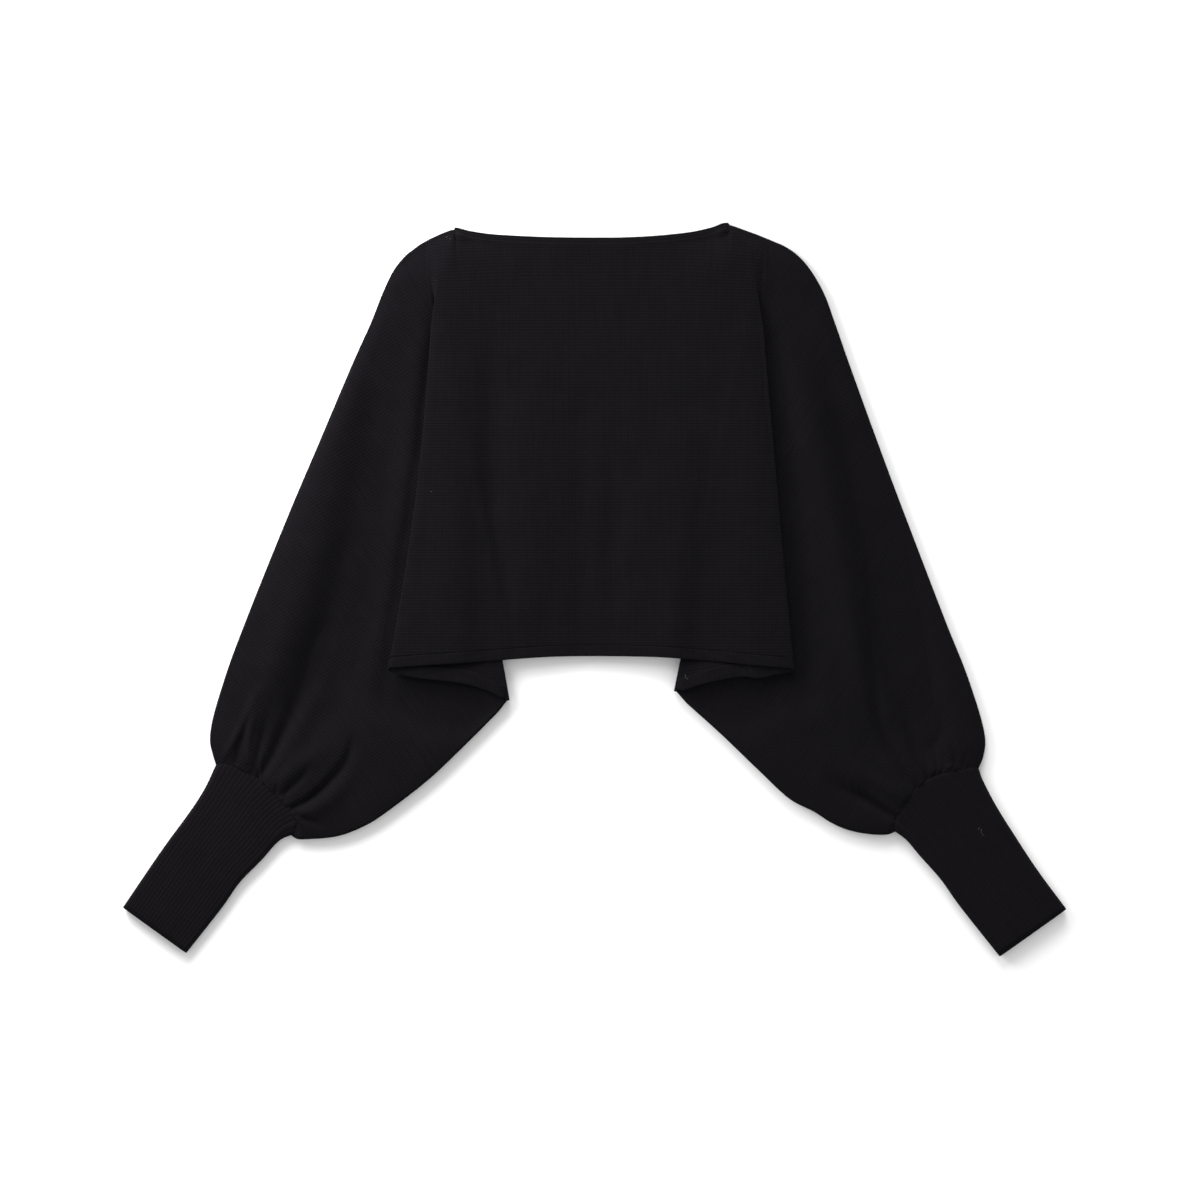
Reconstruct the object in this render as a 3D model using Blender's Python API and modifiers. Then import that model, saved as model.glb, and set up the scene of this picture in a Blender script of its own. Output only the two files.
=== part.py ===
"""Knitted shrug, laid flat: a boat-necked batwing top with long ribbed cuffs.

Front and back are each one piece of jersey, body and both sleeves together. The sleeves
are swung down beside the body, so each panel takes a Z-shaped pleat at either side: the
body lies over a turned-under strip, and the strip lies over the sleeve. The front pleats
rise from the middle of the garment and the back pleats mirror them down to the floor.

Every panel is a loft. Its sections run from the upper edge (sleeve top, shoulder, neck)
to the lower edge (underarm seam, hem), one after another from the left wrist to the
right wrist. Lengths are in millimetres in the tables and in metres in the meshes.
+Y runs up to the neck and +Z up off the floor. Left and right are as seen from above, so
left is towards -X, and the wearer's left arm goes in the right sleeve.
"""

from collections import namedtuple

import bpy
import numpy as np

MM = 0.001

# Cloth
PANEL_WALL = 1.6
CUFF_WALL = 2.4
SEAM_GAP = 0.3
BAND_GAP = 0.5  # beside the bands, which turn with the cloth round the folds
CUFF_GAP = 0.8  # the gathered sleeve end is fuller than the cuff
NECKBAND_WIDTH = 5.5
HEM_BAND_WIDTH = 11.0

# Heights of the middle of the cloth above the floor
FLOOR = PANEL_WALL / 2
SHOULDER_SEAM = 3.0
TIP_SEAM = 7.0
FRONT_EDGE_RISE = 2.3  # how much the front rounds up, just inside a sewn edge
BACK_EDGE_DROP = 2.2  # how much the back rounds down, inside an underarm seam
BACK_NECK_RISE = 2.5  # the back neck edge lies this much higher up the body
BACK_HEM_LIFT = 2.0  # the back hem is this much shorter

# Rows along a section, from its upper edge to its lower edge
EDGE_ROWS, APEX_ROW, FOLD_ROW, ROWS = 4, 5, 9, 15
CLOSED_INSETS = np.array([0.8, 0.8, 1.6, 3.6, 10.0])
OPEN_INSETS = np.array([0.0, 0.8, 1.8, 3.2, 10.0])
EDGE_SHARES = np.array([0.0, 0.35, 0.8, 1.0])  # of the rise from a sewn edge to its inside
APEX_DEPTH = 44.0  # the pleats start this far below the shoulder
APEX_SHARE = 0.3  # or this share of a shorter section
SLOPE_SHARE = 0.35  # of the rise from the edge rows to the apex row, reached between them
BODY_FOLD_SHARE = 0.96  # share of a body section above its last rows

# A pleat's cross-section
ARC_POINTS = 5
WIDEST_RADIUS = 2.5
STRIP_START = 0.6  # the strip's hem starts this far beside the inner fold

# Sleeve sections, from the wrist to the inner fold of the pleat: the upper end, the lower
# end, the height of the sewn edge at both, the heights of front and back at the pleat's
# apex and at the hem line, and the share of the length that lies above the hem line.
Sleeve = namedtuple(
    "Sleeve", "top_x top_y low_x low_y seam_top seam_low front_a front_h back_a back_h share"
)
LEFT_SLEEVE = (
    Sleeve(-380, -176, -310, -246, 5.2, 5.2, 9.6, 9.6, 0.8, 0.8, 0.70),
    Sleeve(-385, -147, -296, -248, 4.4, 4.4, 10.0, 10.0, 0.8, 0.8, 0.70),
    Sleeve(-371, -92, -284, -248, 3.6, 3.6, 10.4, 10.4, 0.8, 0.8, 0.70),
    Sleeve(-340, -9, -273, -247, 3.0, 3.0, 10.6, 10.6, 0.8, 0.8, 0.72),
    Sleeve(-299, 91, -263, -245, 3.0, 3.0, 10.6, 10.6, 0.8, 0.8, 0.74),
    Sleeve(-257, 191, -254, -243, 3.0, 3.0, 10.6, 10.6, 0.8, 0.8, 0.75),
    Sleeve(-222, 271, -248, -242, 3.0, 3.0, 10.6, 10.6, 0.8, 0.8, 0.75),
    Sleeve(-199, 323, -242, -241, 3.0, 3.0, 10.8, 10.8, 0.8, 0.8, 0.75),
    Sleeve(-182, 341, -227, -233, 3.0, 3.0, 11.0, 11.0, 3.6, 4.9, 0.76),
    Sleeve(-176, 344.5, -193, -210, 3.0, 3.0, 11.0, 11.0, 4.8, 4.8, 0.79),
    Sleeve(-172, 347, -158, -182, 3.0, 4.0, 11.0, 11.0, 4.8, 4.8, 0.84),
    Sleeve(-169, 348.7, -121, -148, 3.0, 6.0, 11.0, 11.0, 4.8, 4.8, 0.91),
)
RIGHT_SLEEVE = (
    Sleeve(386, -179, 305, -243, 5.2, 5.2, 9.6, 9.6, 0.8, 0.8, 0.70),
    Sleeve(389, -147, 293, -242, 4.4, 4.4, 10.0, 10.0, 0.8, 0.8, 0.70),
    Sleeve(377, -99, 282, -242, 3.6, 3.6, 10.4, 10.4, 0.8, 0.8, 0.70),
    Sleeve(341, -9, 272, -242, 3.0, 3.0, 10.6, 10.6, 0.8, 0.8, 0.72),
    Sleeve(304, 91, 263, -241, 3.0, 3.0, 10.6, 10.6, 0.8, 0.8, 0.74),
    Sleeve(267, 191, 255, -239, 3.0, 3.0, 10.6, 10.6, 0.8, 0.8, 0.75),
    Sleeve(238, 271, 249, -237, 3.0, 3.0, 10.6, 10.6, 0.8, 0.8, 0.75),
    Sleeve(209, 329, 243, -234, 3.0, 3.0, 10.8, 10.8, 0.8, 0.8, 0.75),
    Sleeve(189, 344, 224, -225, 3.0, 3.0, 11.0, 11.0, 3.6, 4.9, 0.76),
    Sleeve(181, 347.5, 195, -208, 3.0, 3.0, 11.0, 11.0, 4.8, 4.8, 0.79),
    Sleeve(176, 349.5, 160, -177, 3.0, 4.0, 11.0, 11.0, 4.8, 4.8, 0.84),
    Sleeve(173, 350.7, 123, -143, 3.0, 6.0, 11.0, 11.0, 4.8, 4.8, 0.91),
)

# A pleat: its two folds start at the upper edge, cross at the apex and spread downwards,
# the inner fold to the tip where the side seam starts, the outer fold to the hem's corner.
# The strip between them is turned wrong side up, and its hem runs through strip_hem.
# Side is +1 where the body lies towards +X of the folds.
Pleat = namedtuple(
    "Pleat", "inner_top outer_top apex tip hem_corner strip_corner strip_hem outer_bow side"
)
LEFT_PLEAT = Pleat(
    inner_top=(-166, 350.2),
    outer_top=(-154, 356.3),
    apex=(-160, 311),
    tip=(-87, -111),
    hem_corner=(-207, -77),
    strip_corner=(-205, -80),
    strip_hem=((-110, -99), (-143, -90), (-178, -88)),
    outer_bow=5.0,
    side=1,
)
RIGHT_PLEAT = Pleat(
    inner_top=(170, 351.8),
    outer_top=(160, 356),
    apex=(164, 311),
    tip=(82, -110),
    hem_corner=(198, -77.5),
    strip_corner=(196, -80),
    strip_hem=((104, -96), (138, -88), (170, -86)),
    outer_bow=3.0,
    side=-1,
)

# Heights through a pleat at its apex, at the hem line and at the lower edge: of the
# sleeve, of the strip at its inner and outer fold, and of the body.
Stack = namedtuple("Stack", "sleeve strip_inner strip_outer body")
FRONT_STACK = (
    Stack(11.0, 13.0, 13.0, 15.0),
    Stack(11.0, 14.5, 15.5, 20.5),
    Stack(9.6, 13.2, 15.5, 20.5),
)
BACK_STACK = (Stack(4.8, 2.8, 2.8, 0.8),) * 3

# Body sections, from the pleat to the middle of the front: the upper edge, the hem,
# whether the upper edge is sewn, and the front's heights there, at the pleats' apex and
# at the hem.
Body = namedtuple("Body", "top_x top_y hem_x hem_y sewn top_z apex_z hem_z")
LEFT_BODY = (
    Body(-148, 358.5, -150, -73, True, 3.6, 15.0, 20.0),
    Body(-140, 360.5, -89, -69, False, 3.2, 14.8, 17.6),
    Body(-125, 357.5, -69, -67, False, 5.5, 11.8, 13.2),
    Body(-103, 354.5, -45, -66, False, 8.0, 10.0, 10.4),
    Body(-55, 351.5, -23, -65.5, False, 9.0, 9.2, 9.4),
)
MIDDLE_BODY = Body(-2, 351, 0, -65, False, 9.0, 9.0, 9.0)
RIGHT_BODY = (
    Body(150, 360, 150, -73, True, 3.6, 15.0, 20.0),
    Body(132, 365, 84, -67.5, False, 3.2, 14.8, 17.6),
    Body(117, 360, 67, -66, False, 5.5, 11.8, 13.2),
    Body(95, 355.5, 47, -65, False, 8.0, 10.0, 10.4),
    Body(52, 351.5, 23, -65, False, 9.0, 9.2, 9.4),
)

# Cuffs: the ends of the seam that joins each to its sleeve, the corners of its open end,
# and the height of the middle of its upper wall at both.
Cuff = namedtuple("Cuff", "outer_top inner_top outer_end inner_end top_z end_z")
CUFFS = {
    "left_cuff": Cuff((-380, -176), (-310, -246), (-472, -317), (-407, -364), 10.2, 8.8),
    "right_cuff": Cuff((386, -179), (305, -243), (472, -319), (408, -367), 10.2, 8.8),
}
CUFF_RINGS = 5
CUFF_CROWN = 0.8  # the upper wall's middle stands this much higher than its sides
CUFF_CROWN_POINTS = 7
CUFF_FLAT_POINTS = 3
CUFF_SIDE_POINTS = 5

# Colours are linear; the knit is a matt charcoal black throughout.
JERSEY_COLOUR = (0.012, 0.011, 0.013, 1.0)
RIB_COLOUR = (0.011, 0.010, 0.012, 1.0)
KNIT_ROUGHNESS = 0.9

# A section ready to loft: its points, and where its neck edge and its hem's edge lie.
Section = namedtuple("Section", "points neck hem")


def mix(a, b, share):
    """The point or height this share of the way from a to b."""
    return a + (b - a) * share


def ease(share):
    """A share that starts and ends gently: 3 s^2 - 2 s^3."""
    return share * share * (3 - 2 * share)


def unit(vector):
    """The vector at length one."""
    return vector / np.linalg.norm(vector)


def toward(start, end, distance):
    """The point this far from start on the way to end."""
    return start + unit(end - start) * distance


def default_apex(top, low):
    """Where a section without a pleat crosses the row of the pleats' apex."""
    length = np.linalg.norm(low - top)
    return toward(top, low, min(APEX_DEPTH, APEX_SHARE * length))


def down_shares():
    """How far each row is from the apex row, 0, to the hem line's row, 1."""
    return np.clip((np.arange(ROWS) - APEX_ROW) / (FOLD_ROW - APEX_ROW), 0, 1)


def plan_of(top, apex, fold, low, sewn_top, sewn_low):
    """A section's plan points: close rows inside both edges and even rows between."""
    upper = CLOSED_INSETS if sewn_top else OPEN_INSETS
    lower = (CLOSED_INSETS if sewn_low else OPEN_INSETS)[:EDGE_ROWS]
    plan = mix(apex, fold, down_shares()[:, None])
    plan[:APEX_ROW] = top + upper[:, None] * unit(apex - top)
    plan[-EDGE_ROWS:] = low + lower[::-1, None] * unit(apex - low)
    plan[FOLD_ROW + 1] = mix(plan[FOLD_ROW], plan[FOLD_ROW + 2], 0.5)
    return plan


def heights_of(edge, shoulder, apex_z, fold_z, low_shoulder, low_edge):
    """A section's heights on the same rows: two edges and two levels between them."""
    heights = mix(apex_z, fold_z, down_shares())
    heights[:EDGE_ROWS] = mix(edge, shoulder, EDGE_SHARES)
    heights[EDGE_ROWS] = mix(shoulder, apex_z, SLOPE_SHARE)
    heights[FOLD_ROW + 1] = mix(fold_z, low_shoulder, 0.5)
    heights[-EDGE_ROWS:] = mix(low_edge, low_shoulder, EDGE_SHARES[::-1])
    return heights


def sewn_edge(seam_z, is_front, level=FLOOR):
    """Edge and shoulder heights where front and back meet edge to edge at a seam."""
    if is_front:
        edge = seam_z + SEAM_GAP / 2
        return edge, edge + FRONT_EDGE_RISE
    return seam_z - SEAM_GAP / 2, level


def sleeve_section(row, is_front):
    """One section of a sleeve."""
    top = np.array([row.top_x, row.top_y], float)
    low = np.array([row.low_x, row.low_y], float)
    edge, shoulder = sewn_edge(row.seam_top, is_front)
    low_level = max(FLOOR, row.seam_low - BACK_EDGE_DROP)
    low_edge, low_shoulder = sewn_edge(row.seam_low, is_front, low_level)
    levels = (row.front_a, row.front_h) if is_front else (row.back_a, row.back_h)
    plan = plan_of(top, default_apex(top, low), mix(top, low, row.share), low, True, True)
    heights = heights_of(edge, shoulder, *levels, low_shoulder, low_edge)
    return Section(np.column_stack([plan, heights]), None, None)


def body_section(row, is_front):
    """One section of the body, from the neck or shoulder edge to the hem."""
    top = np.array([row.top_x, row.top_y], float)
    hem = np.array([row.hem_x, row.hem_y], float)
    if not is_front:
        hem[1] += BACK_HEM_LIFT
    neck = None
    if not row.sewn:
        neck = top if is_front else top + [0.0, BACK_NECK_RISE]
        top = toward(neck, hem, NECKBAND_WIDTH + BAND_GAP)
    low = toward(hem, top, HEM_BAND_WIDTH + BAND_GAP)

    if is_front:
        edge = row.top_z
        shoulder = edge + FRONT_EDGE_RISE if row.sewn else edge
        apex_z, hem_z = row.apex_z, row.hem_z
    else:
        edge = sewn_edge(SHOULDER_SEAM, is_front)[0] if row.sewn else FLOOR
        shoulder = apex_z = hem_z = FLOOR
    fold = mix(top, low, BODY_FOLD_SHARE)
    plan = plan_of(top, default_apex(top, low), fold, low, row.sewn, False)
    heights = heights_of(edge, shoulder, apex_z, hem_z, hem_z, hem_z)
    return Section(np.column_stack([plan, heights]), neck, hem)


def pleat_edge(top, apex, low, sewn):
    """Plan points of one line down a pleat, through its apex to the seam or hem."""
    if not sewn:
        low = toward(low, apex, HEM_BAND_WIDTH + BAND_GAP)
    return plan_of(top, apex, mix(apex, low, BODY_FOLD_SHARE), low, True, sewn)


def pleat_sections(pleat, stack, is_front):
    """A pleat's sections in sewing order, from the sleeve over the strip to the body.

    Above the apex they lie side by side on a slope. At the apex they stand one above
    another as a wall. Below it two half turns join sleeve, strip and body.
    """
    lift = np.array([0.0, 0.0 if is_front else BACK_HEM_LIFT])
    inner_top, outer_top, apex, tip = (np.array(point, float) for point in pleat[:4])
    corner = pleat.hem_corner + lift
    strip_corner = np.array(pleat.strip_corner, float) if is_front else corner
    sleeve = pleat_edge(inner_top, apex, tip, True)
    strip_outer = pleat_edge(outer_top, apex, strip_corner, False)
    body = pleat_edge(outer_top, apex, corner, False)

    edge, shoulder = sewn_edge(SHOULDER_SEAM, is_front)
    low_edge, low_shoulder = sewn_edge(TIP_SEAM, is_front, stack[2].sleeve)
    sleeve_z = heights_of(
        edge, shoulder, stack[0].sleeve, stack[1].sleeve, low_shoulder, low_edge
    )
    inner_z, outer_z, body_z = (
        heights_of(edge, shoulder, stack[0][layer], stack[1][layer], *[stack[2][layer]] * 2)
        for layer in (1, 2, 3)
    )
    below = np.arange(ROWS) > APEX_ROW
    turn = np.where(below, np.pi, np.pi / 2)
    bow = pleat.side * pleat.outer_bow * np.sin(np.pi * down_shares())
    inner_half = (inner_z - sleeve_z) / 2
    outer_half = (body_z - outer_z) / 2
    inner_bulge = pleat.side * np.minimum(np.abs(inner_half), WIDEST_RADIUS)
    outer_bulge = pleat.side * np.minimum(np.abs(outer_half), WIDEST_RADIUS)

    sections = []
    for share in np.linspace(0, 1, ARC_POINTS):
        height = sleeve_z + inner_half * (1 - np.cos(turn * share))
        points = np.column_stack([sleeve, height])
        points[:, 0] -= inner_bulge * (1 - np.sin(turn * share))
        sections.append(Section(points, None, None))

    strip_start = tip - [inner_bulge[-1] + pleat.side * STRIP_START, 0.0]
    strip_hem = [strip_start] + [point + lift for point in pleat.strip_hem]
    for index, hem in enumerate(strip_hem):
        share = index / len(strip_hem)
        wall_share = (index + 1) / (len(strip_hem) + 1)
        plan = pleat_edge(mix(inner_top, outer_top, share), apex, hem, False)
        wall = mix(sleeve_z + inner_half, body_z - outer_half, wall_share)
        height = np.where(below, mix(inner_z, outer_z, share), wall)
        sections.append(Section(np.column_stack([plan, height]), None, hem))

    for share in np.linspace(1, 0, ARC_POINTS):
        shift = outer_bulge * (1 - np.sin(turn * share)) + bow
        height = body_z - outer_half * (1 - np.cos(turn * share))
        points = np.column_stack([mix(body, strip_outer, share), height])
        points[:, 0] += shift
        hem = mix(corner, strip_corner, share) + [shift[-1], 0.0]
        sections.append(Section(points, None, hem))

    above = slice(0, APEX_ROW)
    for index, section in enumerate(sections):
        share = index / (len(sections) - 1)
        section.points[above, :2] = mix(sleeve, body, share)[above]
        section.points[above, 2] = mix(sleeve_z, body_z, ease(share))[above]
    return sections


def panel_sections(is_front):
    """Every section of a panel, from the left wrist to the right wrist."""
    stack = FRONT_STACK if is_front else BACK_STACK
    left = [sleeve_section(row, is_front) for row in LEFT_SLEEVE]
    left += pleat_sections(LEFT_PLEAT, stack, is_front)
    left += [body_section(row, is_front) for row in LEFT_BODY]
    right = [sleeve_section(row, is_front) for row in RIGHT_SLEEVE]
    right += pleat_sections(RIGHT_PLEAT, stack, is_front)
    right += [body_section(row, is_front) for row in RIGHT_BODY]
    return left + [body_section(MIDDLE_BODY, is_front)] + right[::-1]


def band_points(beside, edge, width):
    """Points across a band, from beside the panel's last point out to the band's edge."""
    plan = [mix(toward(edge, beside[:2], width), edge, share) for share in (0.0, 0.5, 1.0)]
    return np.column_stack([plan, np.full(len(plan), beside[2])])


def cuff_ring(outer, inner, top_z):
    """A cuff's section: flat below, round at both sides and slightly crowned above."""
    low_z = CUFF_WALL / 2
    radius = (top_z - low_z) / 2
    across = unit(inner - outer)
    start = outer + across * (CUFF_WALL / 2 + radius)
    end = inner - across * (CUFF_WALL / 2 + radius)
    angles = np.linspace(-np.pi / 2, np.pi / 2, CUFF_SIDE_POINTS)
    side_out = radius * np.cos(angles)[:, None] * across
    side_z = low_z + radius * (1 + np.sin(angles))
    crown = np.linspace(0, 1, CUFF_CROWN_POINTS + 2)[1:-1, None]
    crown_z = top_z + CUFF_CROWN * 4 * crown * (1 - crown)
    flat = np.linspace(0, 1, CUFF_FLAT_POINTS + 2)[1:-1, None]
    return np.vstack([
        np.column_stack([start - side_out, side_z]),
        np.column_stack([mix(start, end, crown), crown_z]),
        np.column_stack([end + side_out[::-1], side_z[::-1]]),
        np.column_stack([mix(end, start, flat), np.full(CUFF_FLAT_POINTS, low_z)]),
    ])


def cuff_rings(cuff):
    """A cuff's sections, from just past the sleeve's seam to its open end."""
    outer_top, inner_top, outer_end, inner_end = (np.array(point, float) for point in cuff[:4])
    gap = CUFF_GAP * unit(mix(outer_end, inner_end, 0.5) - mix(outer_top, inner_top, 0.5))
    rings = []
    for share in np.linspace(0, 1, CUFF_RINGS):
        outer = mix(outer_top + gap, outer_end, share)
        inner = mix(inner_top + gap, inner_end, share)
        rings.append(cuff_ring(outer, inner, mix(cuff.top_z, cuff.end_z, share)))
    return rings


def knit(name, colour):
    """The material of a piece: matt knitted cloth."""
    material = bpy.data.materials.new(name)
    material.use_nodes = True
    shader = material.node_tree.nodes["Principled BSDF"]
    shader.inputs["Base Color"].default_value = colour
    shader.inputs["Roughness"].default_value = KNIT_ROUGHNESS
    shader.inputs["Metallic"].default_value = 0.0
    return material


def loft(name, sections, wall, closed, colour):
    """Join sections into a sheet, or a tube where they are closed, and give it its wall."""
    grid = np.array(sections) * MM
    lines, rows = grid.shape[:2]
    index = np.arange(lines * rows).reshape(lines, rows)
    if closed:
        index = np.column_stack([index, index[:, 0]])
    corners = [index[:-1, :-1], index[:-1, 1:], index[1:, 1:], index[1:, :-1]]
    faces = np.stack(corners, axis=-1).reshape(-1, len(corners))
    mesh = bpy.data.meshes.new(name)
    mesh.from_pydata(grid.reshape(-1, 3).tolist(), [], faces.tolist())
    mesh.materials.append(knit(f"{name}_knit", colour))
    mesh.shade_smooth()
    item = bpy.data.objects.new(name, mesh)
    shrug.objects.link(item)
    shell = item.modifiers.new("wall", "SOLIDIFY")
    shell.thickness = wall * MM
    shell.offset = 0.0


def make_panel(side_name, is_front):
    """A panel of jersey with the bands along its neck edge and its hem."""
    sections = panel_sections(is_front)
    panel = [section.points for section in sections]
    neckband = [
        band_points(section.points[0], section.neck, NECKBAND_WIDTH)
        for section in sections
        if section.neck is not None
    ]
    hem_band = [
        band_points(section.points[-1], section.hem, HEM_BAND_WIDTH)
        for section in sections
        if section.hem is not None
    ]
    loft(f"{side_name}_panel", panel, PANEL_WALL, False, JERSEY_COLOUR)
    loft(f"{side_name}_neckband", neckband, PANEL_WALL, False, JERSEY_COLOUR)
    loft(f"{side_name}_hem_band", hem_band, PANEL_WALL, False, JERSEY_COLOUR)


for item in list(bpy.data.objects):
    bpy.data.objects.remove(item)
shrug = bpy.data.collections.new("knitted_shrug")
bpy.context.scene.collection.children.link(shrug)

make_panel("back", False)
make_panel("front", True)
for cuff_name, cuff in CUFFS.items():
    loft(cuff_name, cuff_rings(cuff), CUFF_WALL, True, RIB_COLOUR)
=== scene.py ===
"""Knitted shrug, laid flat: a boat-necked batwing top in black fine-gauge jersey, with long
ribbed cuffs, its sleeves swung down beside the body.

Tables and formulas are in millimetres in the garment's own frame: +Y runs up to the neck,
+Z up off the floor, and left is towards -X, as seen from above. Meshes are in metres.
"""

from collections import namedtuple

import bmesh
import bpy
import numpy as np
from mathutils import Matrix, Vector


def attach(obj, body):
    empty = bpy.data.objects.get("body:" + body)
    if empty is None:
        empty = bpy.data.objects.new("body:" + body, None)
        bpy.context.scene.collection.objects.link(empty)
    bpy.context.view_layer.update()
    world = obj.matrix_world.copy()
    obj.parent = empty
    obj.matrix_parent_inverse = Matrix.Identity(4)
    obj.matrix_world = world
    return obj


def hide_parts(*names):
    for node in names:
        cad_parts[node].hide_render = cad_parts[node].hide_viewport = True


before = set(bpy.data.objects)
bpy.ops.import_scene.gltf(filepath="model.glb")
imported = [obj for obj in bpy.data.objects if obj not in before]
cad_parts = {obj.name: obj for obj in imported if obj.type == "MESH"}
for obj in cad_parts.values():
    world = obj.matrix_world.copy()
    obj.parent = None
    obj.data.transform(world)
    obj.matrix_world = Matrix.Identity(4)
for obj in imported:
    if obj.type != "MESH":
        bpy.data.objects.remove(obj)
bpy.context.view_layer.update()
MM = 0.001

# ---------------------------------------------------------------------------------------
# Studio. A pale floor, even light from all round, a wide soft light from beyond the neck and
# a soft lamp close by at the upper left. The camera hangs straight above.

CAMERA_HEIGHT = 4.5
VIEW_WIDTH = 1.2
VIEW_CENTRE = (0.005, -0.009)
SENSOR = 36.0
SUN_FROM, SUN_SPREAD, SUN_POWER = (-0.14, 0.90, 0.37), 0.6, 3.0
LAMP_AT, LAMP_SIZE, LAMP_POWER = (-0.85, 0.62, 0.5), 0.8, 20.0
SKY = 0.87
FLOOR_WHITE, FLOOR_ROUGHNESS = 0.80, 0.9
FLOOR_SIZE, FLOOR_DROP = 12.0, 0.0002  # it lies this far below the cloth

camera_data = bpy.data.cameras.new("camera")
camera_data.sensor_width = SENSOR
camera_data.lens = SENSOR * CAMERA_HEIGHT / VIEW_WIDTH
camera = bpy.data.objects.new("camera", camera_data)
camera.location = (*VIEW_CENTRE, CAMERA_HEIGHT)
bpy.context.scene.collection.objects.link(camera)
bpy.context.scene.camera = camera
bpy.context.scene.view_settings.view_transform = "Standard"


def hang_light(name, kind, place, power):
    """A light at this place, turned to the middle of the floor."""
    light_data = bpy.data.lights.new(name, kind)
    light_data.energy = power
    light = bpy.data.objects.new(name, light_data)
    light.location = place
    light.rotation_euler = Vector(place).to_track_quat("Z", "Y").to_euler()
    bpy.context.scene.collection.objects.link(light)
    return light_data


sun = hang_light("sun", "SUN", SUN_FROM, SUN_POWER)
sun.angle = SUN_SPREAD
lamp = hang_light("lamp", "AREA", LAMP_AT, LAMP_POWER)
lamp.shape = "DISK"
lamp.size = LAMP_SIZE

world = bpy.data.worlds.new("even_light")
world.use_nodes = True
world.node_tree.nodes["Background"].inputs["Color"].default_value = (1, 1, 1, 1)
world.node_tree.nodes["Background"].inputs["Strength"].default_value = SKY
bpy.context.scene.world = world


def plain_shader(name, colour, roughness):
    """A material with its Principled shader: one colour and one roughness."""
    material = bpy.data.materials.new(name)
    material.use_nodes = True
    shader = material.node_tree.nodes["Principled BSDF"]
    shader.inputs["Base Color"].default_value = (*colour, 1)
    shader.inputs["Roughness"].default_value = roughness
    return material, shader


bpy.ops.mesh.primitive_plane_add(size=FLOOR_SIZE, location=(0, 0, -FLOOR_DROP))
floor = bpy.context.object
floor.name = "floor"
floor_material, floor_shader = plain_shader("pale_floor", [FLOOR_WHITE] * 3, FLOOR_ROUGHNESS)
floor_shader.inputs["Specular IOR Level"].default_value = 0.0
floor.data.materials.append(floor_material)

# ---------------------------------------------------------------------------------------
# Jersey panels. Back and front are each one piece of fine jersey, body and both sleeves
# together, joined along the shoulders and under the arms. The sleeves are swung down, so
# each panel takes a Z-shaped pleat at either side: body over turned-under strip over
# sleeve. The cloth is 1.6 mm thick, and the gathered sleeve ends are sewn to the cuffs.

WALL = 1.6
EDGE_INSET = WALL / 2
EDGE_REACH = 2.8  # a sewn edge rounds over this far in plan
EDGE_RISE = 2.6  # and this far in height, on the front
EDGE_STEPS = 7
SEAM_HALF_GAP = 0.05  # between the middles of front and back at a seam
APEX_DEPTH = 44.0  # the pleats start this far below the shoulder
APEX_SHARE = 0.3  # or this share of a shorter line
ROWS_ABOVE, ROWS_BELOW = 24, 72  # of the line through the pleats' apex
PUFF = 2.6  # how quickly the cloth fills out inside a sewn edge
BAND_INSET = 5.7  # the neckband takes this much of the neck edge
HEM_INSET = 11.4  # and the hem band this much of the hem
BACK_NECK_RISE = 2.6
BACK_HEM_LIFT = 2.0
FLOOR_LEVEL = WALL / 2
LAYER_GAP = 1.9
WELL_FORMED = 0.75  # a pleat keeps its layers apart from this share of its forming on
STRIP_BEND = 20.0  # past a strip's edge its layers' limits fall away by distance^2 / this
BODY_SOFTNESS, SLEEVE_SOFTNESS = 1.6, 0.5  # they round over this much on to those limits
OUT_OF_REACH = 30.0
CORNER_COLUMNS, CORNER_ROUNDS = (-9, 8), 40  # smoothed, about the end of the neck
HEM_BLEND = 2  # columns over which the panel's lower edge goes over from sewn to open
NECK_BEGINS, NECK_BLEND = 14, 3  # and its upper edge, counted from the pleat
NECK_OVERLAP = 3  # columns of the shoulder that the neckband runs on over

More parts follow.
